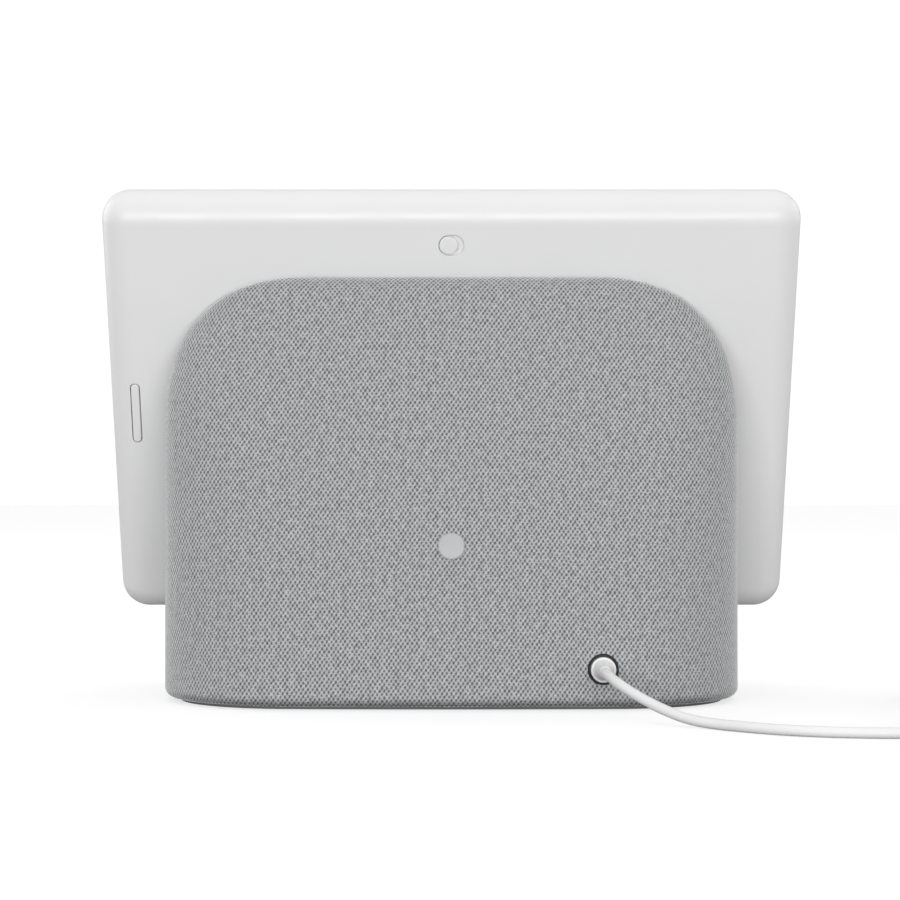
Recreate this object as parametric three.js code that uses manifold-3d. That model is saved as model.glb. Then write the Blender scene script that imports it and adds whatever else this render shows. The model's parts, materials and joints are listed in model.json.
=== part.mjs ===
// A smart display: a tilted touch screen on a fabric-covered speaker base, with its power lead.
// Millimetres, +Z up. The screen faces -Y and the lead leaves the back, towards +Y.
// The origin is on the table, under the middle of the object without its lead.

import * as THREE from "three";
import { mergeVertices } from "three/addons/utils/BufferGeometryUtils.js";
import { RoundedBoxGeometry } from "three/addons/geometries/RoundedBoxGeometry.js";
import Module from "manifold-3d";

const wasm = await Module();
wasm.setup();

// ---------------------------------------------------------------- driving dimensions

const GAP = 0.3; // air between pieces that touch

// The head, in its own frame: x across, y up the screen from its lower edge, z out of the glass.
const TILT = THREE.MathUtils.degToRad(22.3);
const HEAD_BOTTOM_Y = -51.16;
const HEAD_BOTTOM_Z = 32.5;
const HEAD = {
  width: 250.1,
  height: 163,
  thickness: 14,
  corner: 10.4,
  lipInset: 1.6,
  lipDepth: 4,
  rearRadius: 10,
  wall: 2.3,
};
const HEAD_MIDDLE = HEAD.height / 2;
const REAR_WALL_INSIDE = -HEAD.thickness + HEAD.wall;
const BEHIND_HEAD = -HEAD.thickness - 1;
const IN_HEAD = REAR_WALL_INSIDE + 0.7;

// The speaker base, in the object's frame.
const BASE = {
  halfWidth: 102.6,
  bottomZ: 1.2,
  topZ: 151,
  rearY: 51.2,
  lean: 0.13,
  topPull: 9,
  bow: 1.2,
  flatHalf: 55,
  middleY: 8,
  frontDepth: 41,
  endLength: 48,
  edgeRadius: 3.5,
  topRoundHeight: 8,
  topRoundDepth: 8,
  archFlatHalf: 50,
  archSpan: 52.6,
  archDrop: 58,
  archPower: 2.45,
};
const FABRIC_THICKNESS = 1;
const HOUSING_INSET = 2.4;
const HOUSING_WALL = 2.2;
const HOUSING_BOTTOM = 5;
const FOOT_HEIGHT = 1.6;
const PLATE_BOTTOM = FOOT_HEIGHT + GAP;
const PLATE_TOP = 4.6;
const PLATE_INSET = 3.4;
const FOOT_INSET = 5.5;

// Controls on the back of the head.
const SWITCH_Y = 145.6;
const SWITCH_TRAVEL = 2;
const KNOB = { radius: 3.3, proud: 0.45, edge: 0.4, stemHalf: 0.7, stemEnd: -10.4 };
const RECESS = { width: 9.2, height: 7.7, depth: 1.1 };
const SWITCH_BODY = { halfWidth: 6, halfHeight: 2.8, back: -11.3, front: -8.9, slotFloor: -10 };
const ROCKER_X = 115.3;
const ROCKER_LENGTH = 22.5;
const ROCKER_WIDTH = 3;
const ROCKER_PIVOT_Z = -10.9;
const ROCKER_PROUD = 0.2;
const TRUNNION = { radius: 0.6, length: 5.4 };
const ROCKER_POCKET = { halfWidth: 3.4, halfLength: 14, floor: -11.8, inside: -9 };
const BUTTON_BOARD = { halfWidth: 2.8, halfLength: 13, back: -8.5, front: -7.5 };
const BUTTON = { spacing: 8, half: 1.5, back: -9.7, front: -8.8, plungerRadius: 0.8, plungerTip: -10.3 };

// The power inlet, plug and lead.
const JACK_X = -52;
const JACK_Z = 14;
const PLUG_RADIUS = 4.35;
const PLUG_FACE_Y = 50.2;
const PLUG_HEAD_END_Y = 43.3;
const JACK_FACE_Y = 42;
const RING_RADIUS = 5.1;
const RING_WALL = 0.45;
const BOOT_LENGTH = 8;
const BARREL = { radius: 2.75, tip: 33.3, boreRadius: 1.3, boreEnd: 41 };
const PIN_RADIUS = 1;
const CORD_DIAMETER = 3.5;
const CORD_RADIUS = CORD_DIAMETER / 2;
const CORD_Z = 1.8;
const COIL = { x: -178, y: 98, radius: 22, pitch: 3.75, across: 5, layers: 2 };
const ADAPTER = { x: -192, y: 20, width: 46, length: 50, height: 28, corner: 8 };
const ADAPTER_RELIEF_Z = 8;
const PRONG = { spacing: 12.7, thickness: 1.5, length: 17.5, bottom: 10.8, top: 17.2 };

const BADGE_Z = 56;
const BADGE_RADIUS = 4.55;

const WOOFER_Z = 76;
const WOOFER_DEPTH = 7.1;
const WOOFER_SLOPE = 0.186;
const WOOFER_SCALE = 0.92;
const WOOFER_HOLE_RADIUS = 31.5;
const TWEETER_X = 50;
const TWEETER_Y = -26.2;
const TWEETER_Z = 18;
const TWEETER_HOLE_RADIUS = 9;

const BRACKET = { width: 100, height: 64, y: 75, thickness: 2, corner: 5 };
const BRACKET_SCREW_X = 40;
const BRACKET_SCREW_Y = 22;

// ---------------------------------------------------------------- materials

function finish(color, roughness, metalness = 0) {
  return new THREE.MeshStandardMaterial({ color, roughness, metalness });
}

const WHITE_SHELL = finish(0xe6e7e8, 0.45);
const WHITE_CORD = finish(0xf0f0f0, 0.5);
const FABRIC = finish(0xa9abad, 0.95);
const DARK_PLASTIC = finish(0x2b2c2e, 0.6);
const GREY_PLASTIC = finish(0x8d9093, 0.6);
const RUBBER = finish(0x77797b, 0.85);
const GLASS = finish(0xdfe3e6, 0.05);
const BEZEL = finish(0xe2e2e0, 0.4);
const SCREEN_BLACK = finish(0x0a0b0d, 0.2);
const BOARD_GREEN = finish(0x1f5a3a, 0.5);
const BLACK = finish(0x111214, 0.5);
const STEEL = finish(0xb9bcc0, 0.35, 0.9);
const ALUMINIUM = finish(0xc8cacc, 0.4, 0.9);
const BRASS = finish(0xc9a75a, 0.3, 0.9);
const COPPER_FLEX = finish(0x9a6a2c, 0.5);

// ---------------------------------------------------------------- geometry helpers

// A closed, merged copy of a geometry with its faces pointing out.
function closed(geometry) {
  const bare = geometry.clone();
  bare.deleteAttribute("normal");
  bare.deleteAttribute("uv");
  const merged = mergeVertices(bare, 1e-3);
  const source = merged.index.array;
  const faces = [];
  for (let i = 0; i < source.length; i += 3) {
    const [a, b, c] = [source[i], source[i + 1], source[i + 2]];
    if (a !== b && b !== c && c !== a) faces.push(a, b, c);
  }
  if (signedVolume(merged.attributes.position, faces) < 0) {
    for (let i = 0; i < faces.length; i += 3) {
      [faces[i + 1], faces[i + 2]] = [faces[i + 2], faces[i + 1]];
    }
  }
  merged.setIndex(faces);
  return merged;
}

function signedVolume(position, faces) {
  const a = new THREE.Vector3();
  const b = new THREE.Vector3();
  const c = new THREE.Vector3();
  let sum = 0;
  for (let i = 0; i < faces.length; i += 3) {
    a.fromBufferAttribute(position, faces[i]);
    b.fromBufferAttribute(position, faces[i + 1]);
    c.fromBufferAttribute(position, faces[i + 2]);
    sum += a.dot(b.cross(c));
  }
  return sum / 6;
}

function solid(geometry) {
  const whole = closed(geometry);
  const mesh = new wasm.Mesh({
    numProp: 3,
    vertProperties: new Float32Array(whole.attributes.position.array),
    triVerts: new Uint32Array(whole.index.array),
  });
  return new wasm.Manifold(mesh);
}

function geometryOf(manifold) {
  const mesh = manifold.getMesh();
  const geometry = new THREE.BufferGeometry();
  geometry.setAttribute("position", new THREE.BufferAttribute(mesh.vertProperties, 3));
  geometry.setIndex(new THREE.BufferAttribute(mesh.triVerts, 1));
  return closed(geometry);
}

function cut(geometry, ...tools) {
  let result = solid(geometry);
  for (const tool of tools) result = result.subtract(solid(tool));
  return geometryOf(result);
}

function join(...geometries) {
  let result = solid(geometries[0]);
  for (const other of geometries.slice(1)) result = result.add(solid(other));
  return geometryOf(result);
}

function box(low, high) {
  const size = high.map((value, i) => value - low[i]);
  const middle = high.map((value, i) => (value + low[i]) / 2);
  return new THREE.BoxGeometry(...size).translate(...middle);
}

// A cylinder along Z, from z = low to z = high.
function post(radius, low, high, x = 0, y = 0, sides = 20) {
  const cylinder = new THREE.CylinderGeometry(radius, radius, high - low, sides);
  return cylinder.rotateX(Math.PI / 2).translate(x, y, (low + high) / 2);
}

// A cylinder along Y, from y = low to y = high.
function peg(radius, low, high, x = 0, z = 0, sides = 20) {
  const cylinder = new THREE.CylinderGeometry(radius, radius, high - low, sides);
  return cylinder.translate(x, (low + high) / 2, z);
}

// The points of a rounded rectangle about the origin.
function roundedRectangle(width, height, radius, stepsPerCorner = 5) {
  const points = [];
  const x = width / 2 - radius;
  const y = height / 2 - radius;
  const centres = [[x, y], [-x, y], [-x, -y], [x, -y]];
  centres.forEach(([cx, cy], corner) => {
    for (let i = 0; i <= stepsPerCorner; i += 1) {
      const angle = (corner + i / stepsPerCorner) * (Math.PI / 2);
      points.push(new THREE.Vector2(cx + radius * Math.cos(angle), cy + radius * Math.sin(angle)));
    }
  });
  return points;
}

// A flat plate with the given outline, from z = low to z = high.
function plate(outline, low, high, x = 0, y = 0) {
  const shape = new THREE.Shape(outline);
  const body = new THREE.ExtrudeGeometry(shape, { depth: high - low, bevelEnabled: false });
  return body.translate(x, y, low);
}

function roundedPlate(width, height, radius, low, high, x = 0, y = 0) {
  return plate(roundedRectangle(width, height, radius), low, high, x, y);
}

// A solid through a stack of rings that all have the same number of points, with flat ends.
function loft(rings) {
  const count = rings[0].length;
  const positions = rings.flat().flatMap((point) => [point.x, point.y, point.z]);
  const faces = [];
  for (let level = 0; level + 1 < rings.length; level += 1) {
    for (let i = 0; i < count; i += 1) {
      const a = level * count + i;
      const b = level * count + ((i + 1) % count);
      faces.push(a, b, b + count, a, b + count, a + count);
    }
  }
  const last = (rings.length - 1) * count;
  for (const [start, turned] of [[0, true], [last, false]]) {
    for (let i = 1; i + 1 < count; i += 1) {
      const [b, c] = turned ? [i + 1, i] : [i, i + 1];
      faces.push(start, start + b, start + c);
    }
  }
  const geometry = new THREE.BufferGeometry();
  geometry.setAttribute("position", new THREE.Float32BufferAttribute(positions, 3));
  geometry.setIndex(faces);
  return geometry;
}

// A solid of revolution about +Y from [radius, y] pairs that start and end on the axis or close.
function turned(profile, sides = 20) {
  return new THREE.LatheGeometry(profile.map(([r, y]) => new THREE.Vector2(r, y)), sides);
}

// A round tube along a smooth curve through the points.
function tube(points, radius, steps, sides = 8) {
  const curve = new THREE.CatmullRomCurve3(points.map((p) => new THREE.Vector3(...p)), false, "centripetal");
  const section = [];
  for (let i = 0; i < sides; i += 1) {
    const angle = (i / sides) * 2 * Math.PI;
    section.push(new THREE.Vector2(radius * Math.cos(angle), radius * Math.sin(angle)));
  }
  return new THREE.ExtrudeGeometry(new THREE.Shape(section), { steps, extrudePath: curve });
}

// ---------------------------------------------------------------- frames and the shared base shape

const headFrame = new THREE.Group();
headFrame.rotation.x = Math.PI / 2 - TILT;
headFrame.position.set(0, HEAD_BOTTOM_Y, HEAD_BOTTOM_Z);
headFrame.updateMatrixWorld(true);

// The Y of the head's rear plane, moved back by an offset, at height z.
function headRearY(z, offset = 0) {
  const depth = HEAD.thickness + offset;
  const along = (z - HEAD_BOTTOM_Z + depth * Math.sin(TILT)) / Math.cos(TILT);
  return HEAD_BOTTOM_Y + along * Math.sin(TILT) + depth * Math.cos(TILT);
}

// Everything in front of the head's rear plane moved back by an offset, in the object's frame.
function spaceBeforeHeadRear(offset) {
  const reach = 400;
  const block = box([-reach, -reach, -HEAD.thickness - offset], [reach, reach, reach]);
  return block.applyMatrix4(headFrame.matrixWorld);
}

// Half the width of the base at height z: upright sides under a rounded arch.
function archHalfWidth(z) {
  const drop = Math.max(0, BASE.topZ - z) / Math.cos(TILT);
  if (drop >= BASE.archDrop) return BASE.halfWidth;
  const rise = 1 - drop / BASE.archDrop;
  const reach = (1 - rise ** BASE.archPower) ** (1 / BASE.archPower);
  return BASE.archFlatHalf + BASE.archSpan * reach;
}

// The Y of the base's back on the middle line at height z: leaning forward and rounded at the top.
function baseRearY(z) {
  const height = Math.min(z, BASE.topZ);
  const leaning = BASE.rearY - BASE.lean * height - BASE.topPull * (height / BASE.topZ) ** 3;
  const into = (height - BASE.topZ + BASE.topRoundHeight) / BASE.topRoundHeight;
  if (into <= 0) return leaning;
  return leaning - BASE.topRoundDepth * (1 - Math.sqrt(1 - into * into));
}

// How far the lower edge's rounding pulls the outline in at height z.
function lowerEdgeInset(z) {
  const above = BASE.bottomZ + BASE.edgeRadius - z;
  if (above <= 0) return 0;
  const part = Math.min(1, above / BASE.edgeRadius);
  return BASE.edgeRadius * (1 - Math.sqrt(1 - part * part));
}

// One closed level outline of the base, pulled in by inset: a bowed back, round ends and a bowed front.
function baseRing(z, inset, stepsPerCorner = 7) {
  const formZ = z + inset * Math.max(0, z / BASE.topZ);
  const shrink = inset + lowerEdgeInset(z);
  const centreY = Math.max(BASE.middleY, headRearY(Math.min(formZ, BASE.topZ)) + 0.5);
  const halfWidth = archHalfWidth(formZ) - shrink;
  const rearDepth = Math.max(0.6, baseRearY(formZ) - centreY - shrink);
  const frontDepth = BASE.frontDepth - shrink;
  const endLength = Math.min(BASE.endLength, 1.15 * rearDepth);
  const flatHalf = halfWidth - endLength;
  const place = (x, share, depth) => {
    const bow = BASE.bow * (Math.min(x, flatHalf) / BASE.flatHalf) ** 2;
    const reach = (Math.abs(depth) - bow) * share;
    return [x, centreY + Math.sign(depth) * reach];
  };
  const half = [place(0, 1, rearDepth), place(flatHalf / 2, 1, rearDepth)];
  for (let i = stepsPerCorner; i > -stepsPerCorner - 1; i -= 1) {
    const angle = (i / stepsPerCorner) * (Math.PI / 2);
    const depth = i < 0 ? -frontDepth : rearDepth;
    half.push(place(flatHalf + endLength * Math.cos(angle), Math.abs(Math.sin(angle)), depth));
  }
  half.push(place(flatHalf / 2, 1, -frontDepth), place(0, 1, -frontDepth));
  const mirrored = half.slice(1, -1).reverse().map(([x, y]) => [-x, y]);
  return [...half, ...mirrored].map(([x, y]) => new THREE.Vector3(x, y, z));
}

// The base's form from a stack of level outlines.
function baseForm(heights, inset, stepsPerCorner) {
  return loft(heights.map((z) => baseRing(z, inset, stepsPerCorner)));
}

// The outline of a flat plate that follows the base's footprint.
function footprint(inset) {
  const aboveEdge = BASE.bottomZ + BASE.edgeRadius;
  return baseRing(aboveEdge, inset, 6).map((point) => new THREE.Vector2(point.x, point.y));
}

// ---------------------------------------------------------------- assembly lists

const display = new THREE.Group();
display.name = "smart_display";
const head = headFrame;
head.name = "head";
const base = new THREE.Group();
base.name = "base";
const lead = new THREE.Group();
lead.name = "power_lead";
display.add(head, base, lead);

function add(group, name, geometry, material) {
  const mesh = new THREE.Mesh(closed(geometry), material);
  mesh.name = name;
  group.add(mesh);
  return mesh;
}

// ---------------------------------------------------------------- head: shell and screen

// The head's outline at one depth, pulled in from its widest outline.
function headRing(z, inset) {
  const radius = Math.max(HEAD.corner - inset, 0.3);
  const points = roundedRectangle(HEAD.width - 2 * inset, HEAD.height - 2 * inset, radius);
  return points.map((point) => new THREE.Vector3(point.x, point.y + HEAD_MIDDLE, z));
}

function headForm() {
  const rings = [];
  const frontSteps = 2;
  for (let i = frontSteps; i > 0; i -= 1) {
    const angle = (i / frontSteps) * (Math.PI / 2);
    const z = -HEAD.lipDepth * (1 - Math.sin(angle));
    rings.push(headRing(z, HEAD.lipInset * (1 - Math.cos(angle))));
  }
  const rearSteps = 5;
  for (let i = 0; i <= rearSteps; i += 1) {
    const angle = (i / rearSteps) * (Math.PI / 2);
    const z = -HEAD.lipDepth - HEAD.rearRadius * Math.sin(angle);
    rings.push(headRing(z, HEAD.rearRadius * (1 - Math.cos(angle))));
  }
  return loft(rings);
}

function headCavity() {
  return loft([
    headRing(1, HEAD.wall),
    headRing(-HEAD.lipDepth, HEAD.wall),
    headRing(-8, 3.8),
    headRing(REAR_WALL_INSIDE, 9),
  ]);
}

// A pill-shaped plate: a rounded one with ends as round as they can be.
function pill(width, height, low, high, x, y) {
  return roundedPlate(width, height, Math.min(width, height) / 2 - 0.01, low, high, x, y);
}

// A box of the head about the point (x, y), from z = low to z = high.
function boxAt(x, y, halfWidth, halfHeight, low, high) {
  return box([x - halfWidth, y - halfHeight, low], [x + halfWidth, y + halfHeight, high]);
}

function switchRecess() {
  return pill(RECESS.width, RECESS.height, BEHIND_HEAD, -HEAD.thickness + RECESS.depth, 0, SWITCH_Y);
}

// The slot that the knob's stem slides in, from z = low to z = high.
function stemSlot(low, high) {
  const halfHeight = KNOB.stemHalf + GAP;
  return boxAt(0, SWITCH_Y, halfHeight + SWITCH_TRAVEL / 2, halfHeight, low, high);
}

function rockerOpening() {
  const { halfWidth, halfLength, floor, inside } = ROCKER_POCKET;
  const [width, length] = [ROCKER_WIDTH + 2 * GAP, ROCKER_LENGTH + 2 * GAP];
  const through = pill(width, length, BEHIND_HEAD, inside, ROCKER_X, HEAD_MIDDLE);
  return join(through, boxAt(ROCKER_X, HEAD_MIDDLE, halfWidth, halfLength, floor, inside));
}

function bracketScrewPlaces() {
  return [-1, 1].flatMap((x) => [-1, 1].map((y) => [x * BRACKET_SCREW_X, BRACKET.y + y * BRACKET_SCREW_Y]));
}

const SCREW_SHANK = 1.5;
const SCREW_SIDES = 10;
const SCREW_HOLE = SCREW_SHANK + GAP;
const CABLE = { y: 52, width: 14, thickness: 0.6 };

function bracketScrewHoles(low, high) {
  return bracketScrewPlaces().map(([x, y]) => post(SCREW_HOLE, low, high, x, y, SCREW_SIDES));
}

// A slot for the display cable, from z = low to z = high, with the given clearance around it.
function cableSlot(clearance, low, high) {
  const halfWidth = CABLE.width / 2 + clearance;
  const halfHeight = CABLE.thickness + clearance / 2;
  return box([-halfWidth, CABLE.y - halfHeight, low], [halfWidth, CABLE.y + halfHeight, high]);
}

function rearCover() {
  return cut(
    headForm(), headCavity(), switchRecess(), stemSlot(BEHIND_HEAD, IN_HEAD), rockerOpening(),
    cableSlot(2, BEHIND_HEAD, IN_HEAD), ...bracketScrewHoles(BEHIND_HEAD, IN_HEAD),
  );
}

// The flat pieces stacked in the head, back and front faces in z, and the pieces at the top edge.
const LAYER = {
  glass: [-1.2, -0.1],
  bezel: [-1.9, -1.5],
  panel: [-4.6, -2.2],
  frame: [-6.4, -4.9],
  spreader: [-7.5, -6.7],
  flex: [-7.5, -7.1],
  board: [-9, -7.8],
  shield: [-11.1, -9.3],
  sensors: [-3.4, -2.4],
  microphones: [-3.4, -2.3],
};
const SCREEN = { width: 217, height: 136, corner: 2, border: 3.5 };
const MID_FRAME = { width: 238, height: 150, corner: 5 };
const MAIN_BOARD = { width: 130, height: 62, corner: 2, y: 97 };
const SHIELD = { halfWidth: 24, bottom: 84, top: 116, sheet: 0.4 };
const SPREADER = { halfWidth: 75, bottom: 48, top: 130 };
const FLEX = { halfWidth: 14, bottom: 18, top: 46 };
const CAMERA = { y: 156.7, halfWidth: 4.2, halfHeight: 3, back: -4.6, front: -3.2 };
const LENS = { radius: 1.8, tip: -2.1 };
const EYE_RADIUS = 2.2;
const SENSOR = { x: 13.5, halfWidth: 1.5, halfHeight: 1 };
const MICROPHONE = { x: 40, halfWidth: 3, halfHeight: 2 };

// A plate over the whole front of the head, pulled in from its outline.
function frontSheet(inset, layer) {
  const width = HEAD.width - 2 * inset;
  const height = HEAD.height - 2 * inset;
  return roundedPlate(width, height, HEAD.corner - inset, ...layer, 0, HEAD_MIDDLE);
}

function bezelMask() {
  const [low, high] = [LAYER.bezel[0] - 1, LAYER.bezel[1] + 1];
  const window = roundedPlate(SCREEN.width, SCREEN.height, SCREEN.corner, low, high, 0, HEAD_MIDDLE);
  const eye = post(EYE_RADIUS, low, high, 0, CAMERA.y, 12);
  return cut(frontSheet(HEAD.wall + 2 * GAP, LAYER.bezel), window, eye);
}

function lcdPanel() {
  const width = SCREEN.width + 2 * SCREEN.border;
  const height = SCREEN.height + 2 * SCREEN.border;
  return roundedPlate(width, height, SCREEN.corner / 2, ...LAYER.panel, 0, HEAD_MIDDLE);
}

function midFrame() {
  const { width, height, corner } = MID_FRAME;
  const sheet = roundedPlate(width, height, corner, ...LAYER.frame, 0, HEAD_MIDDLE);
  const margin = 2;
  const [low, high] = [LAYER.frame[0] - 1, LAYER.frame[1] + 1];
  return cut(sheet, boxAt(0, FLEX.bottom, FLEX.halfWidth + margin, margin, low, high));
}

function cameraModule() {
  const { y, halfWidth, halfHeight, back, front } = CAMERA;
  const block = boxAt(0, y, halfWidth, halfHeight, back, front);
  return join(block, post(LENS.radius, front - 0.2, LENS.tip, 0, y, 14));
}

function slideSwitchBody() {
  const { halfWidth, halfHeight, back, front, slotFloor } = SWITCH_BODY;
  return cut(boxAt(0, SWITCH_Y, halfWidth, halfHeight, back, front), stemSlot(back - 1, slotFloor));
}

function switchKnob() {
  const rim = -HEAD.thickness + RECESS.depth - GAP;
  const face = -HEAD.thickness - KNOB.proud;
  const cap = turned([[0, rim], [KNOB.radius, rim], [KNOB.radius, face + KNOB.edge],
    [KNOB.radius - KNOB.edge, face], [0, face - 0.1]], 24).rotateX(Math.PI / 2);
  const stem = boxAt(0, 0, KNOB.stemHalf, KNOB.stemHalf, rim - 0.1, KNOB.stemEnd);
  return join(cap, stem).translate(SWITCH_TRAVEL / 2, SWITCH_Y, 0);
}

function volumeRocker() {
  const bar = pill(
    ROCKER_WIDTH, ROCKER_LENGTH, -HEAD.thickness - ROCKER_PROUD, ROCKER_PIVOT_Z, ROCKER_X, HEAD_MIDDLE,
  );
  const trunnion = new THREE.CylinderGeometry(TRUNNION.radius, TRUNNION.radius, TRUNNION.length, 10);
  return join(bar, trunnion.rotateZ(Math.PI / 2).translate(ROCKER_X, HEAD_MIDDLE, ROCKER_PIVOT_Z));
}

function volumeBoard() {
  const { halfWidth, halfLength, back, front } = BUTTON_BOARD;
  return boxAt(ROCKER_X, HEAD_MIDDLE, halfWidth, halfLength, back, front);
}

function tactSwitch(side) {
  const y = HEAD_MIDDLE + side * BUTTON.spacing;
  const { half, back, front, plungerRadius, plungerTip } = BUTTON;
  const can = boxAt(ROCKER_X, y, half, half, back, front);
  return join(can, post(plungerRadius, plungerTip, back + 0.1, ROCKER_X, y, 10));
}

function mainBoard() {
  const { width, height, corner, y } = MAIN_BOARD;
  return roundedPlate(width, height, corner, ...LAYER.board, 0, y);
}

// A pressed can, open on the side that faces the board.
function shieldCan() {
  const [back, front] = LAYER.shield;
  const can = box([-SHIELD.halfWidth, SHIELD.bottom, back], [SHIELD.halfWidth, SHIELD.top, front]);
  const reach = SHIELD.halfWidth - SHIELD.sheet;
  const hollow = box([-reach, SHIELD.bottom + SHIELD.sheet, back + SHIELD.sheet],
    [reach, SHIELD.top - SHIELD.sheet, front + 1]);
  return cut(can, hollow);
}

// A small flat block level with the camera.
function chip(piece, x, layer) {
  return boxAt(x, CAMERA.y, piece.halfWidth, piece.halfHeight, ...layer);
}

// A block of the head centred on x = 0 in one layer.
function layerBlock(piece, [back, front]) {
  return box([-piece.halfWidth, piece.bottom, back], [piece.halfWidth, piece.top, front]);
}

function buildHead() {
  add(head, "rear_cover", rearCover(), WHITE_SHELL);
  add(head, "front_glass", frontSheet(HEAD.wall + GAP, LAYER.glass), GLASS);
  add(head, "bezel_mask", bezelMask(), BEZEL);
  add(head, "lcd_panel", lcdPanel(), SCREEN_BLACK);
  add(head, "mid_frame", midFrame(), ALUMINIUM);
  add(head, "heat_spreader", layerBlock(SPREADER, LAYER.spreader), ALUMINIUM);
  add(head, "main_board", mainBoard(), BOARD_GREEN);
  add(head, "shield_can", shieldCan(), STEEL);
  add(head, "display_flex", layerBlock(FLEX, LAYER.flex), COPPER_FLEX);
  add(head, "camera_module", cameraModule(), BLACK);
  add(head, "light_sensor", chip(SENSOR, SENSOR.x, LAYER.sensors), BLACK);
  add(head, "microphone_left", chip(MICROPHONE, -MICROPHONE.x, LAYER.microphones), BRASS);
  add(head, "microphone_right", chip(MICROPHONE, MICROPHONE.x, LAYER.microphones), BRASS);
  add(head, "slide_switch_body", slideSwitchBody(), BLACK);
  add(head, "privacy_switch_knob", switchKnob(), WHITE_SHELL);
  add(head, "volume_board", volumeBoard(), BOARD_GREEN);
  add(head, "volume_down_switch", tactSwitch(-1), BLACK);
  add(head, "volume_up_switch", tactSwitch(1), BLACK);
  add(head, "volume_rocker", volumeRocker(), WHITE_SHELL);
}

// ---------------------------------------------------------------- head to base

const BRACKET_FRONT = -HEAD.thickness - 0.7;
const BRACKET_BACK = BRACKET_FRONT - BRACKET.thickness;
const SCREW_HEAD = { radius: 3, height: 1.6, edge: 0.5 };
const SCREW_SINK = 2;
const SINK_RADIUS = 3.6;
const BRACKET_SCREW_LENGTH = 7;
const BASE_SCREW_LENGTH = 11;

// A screw along +Y from the underside of its head: the head lies below y = 0.
function screw(shankLength) {
  const { radius, height, edge } = SCREW_HEAD;
  return turned([[0, -height], [radius - edge, -height], [radius, -height + edge], [radius, 0],
    [SCREW_SHANK, 0], [SCREW_SHANK, shankLength], [0, shankLength]], SCREW_SIDES);
}

function standBracket() {
  const [low, high] = [BRACKET_BACK - 1, BRACKET_FRONT + 1];
  const sheet = roundedPlate(
    BRACKET.width, BRACKET.height, BRACKET.corner, BRACKET_BACK, BRACKET_FRONT, 0, BRACKET.y,
  );
  return cut(sheet, cableSlot(3, low, high), ...bracketScrewHoles(low, high));
}

// A flat cable that runs from the main board straight through the joint, then down inside the base.
function displayCable() {
  const [start, bend, end, drop] = [-9.6, -21, -25, -18];
  const { width, thickness } = CABLE;
  const edge = [[start, 0], [bend, 0], [end, drop], [end - thickness, drop], [bend - 0.5, thickness],
    [start, thickness]];
  const strip = new THREE.Shape(edge.map(([z, y]) => new THREE.Vector2(z, y)));
  const body = new THREE.ExtrudeGeometry(strip, { depth: width, bevelEnabled: false });
  return body.rotateY(-Math.PI / 2).translate(width / 2, CABLE.y, 0);
}

function buildJoint() {
  add(head, "stand_bracket", standBracket(), STEEL);
  bracketScrewPlaces().forEach(([x, y], index) => {
    const body = screw(BRACKET_SCREW_LENGTH).rotateX(Math.PI / 2).translate(x, y, BRACKET_BACK - GAP);
    add(head, "bracket_screw_" + (index + 1), body, STEEL);
  });
  add(head, "display_cable", displayCable(), BLACK);
}

// ---------------------------------------------------------------- base

const OUTER_HEIGHTS = [
  BASE.bottomZ, 2.1, 4.7, 24, 44, 64, 82, 97, 109, 119, 128, 135, 141, 145.5, 148.5, 150.4, BASE.topZ,
];
const HOUSING_HEIGHTS = [HOUSING_BOTTOM, 30, 60, 90, 110, 124, 134, 141, 144, 146];

// Where the woofer sits: its centre line comes out of the base's back at a right angle.
const wooferFrame = new THREE.Group();
wooferFrame.rotation.x = Math.atan(WOOFER_SLOPE);
wooferFrame.position.set(0, baseRearY(WOOFER_Z), WOOFER_Z);
wooferFrame.translateY(-WOOFER_DEPTH);
wooferFrame.updateMatrixWorld(true);

const SLEEVE_OFFSET = 0.35;
const HOUSING_OFFSET = 0.7;
const BOSS = { radius: 3.8, top: 18, boreTop: 16 };

// One upright hole or boss at each of the base's four screws, from z = low to z = high.
function atBaseScrews(radius, low, high, sides) {
  return baseScrewPlaces().map(([x, y]) => post(radius, low, high, x, y, sides));
}

function baseScrewPlaces() {
  const [rearX, rearY, frontX, frontY] = [78, 36.8, 30, -26.2];
  return [[-rearX, rearY], [rearX, rearY], [-frontX, frontY], [frontX, frontY]];
}

// The round way for the power inlet through the base's back.
function jackHole() {
  return peg(RING_RADIUS + GAP, 30, 60, JACK_X, JACK_Z);
}

function fabricSleeve() {
  const inside = [0, ...OUTER_HEIGHTS.slice(1, -2), BASE.topZ - FABRIC_THICKNESS];
  const skin = cut(baseForm(OUTER_HEIGHTS, 0), baseForm(inside, FABRIC_THICKNESS));
  return cut(skin, spaceBeforeHeadRear(SLEEVE_OFFSET), jackHole());
}

function housingShell() {
  const inside = [HOUSING_BOTTOM - 1, ...HOUSING_HEIGHTS.slice(1, -1)];
  const inset = HOUSING_INSET + HOUSING_WALL;
  const outer = cut(baseForm(HOUSING_HEIGHTS, HOUSING_INSET, 5), spaceBeforeHeadRear(HOUSING_OFFSET));
  const inner = cut(baseForm(inside, inset, 5), spaceBeforeHeadRear(HOUSING_OFFSET + HOUSING_WALL));
  return cut(outer, inner);
}

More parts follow.
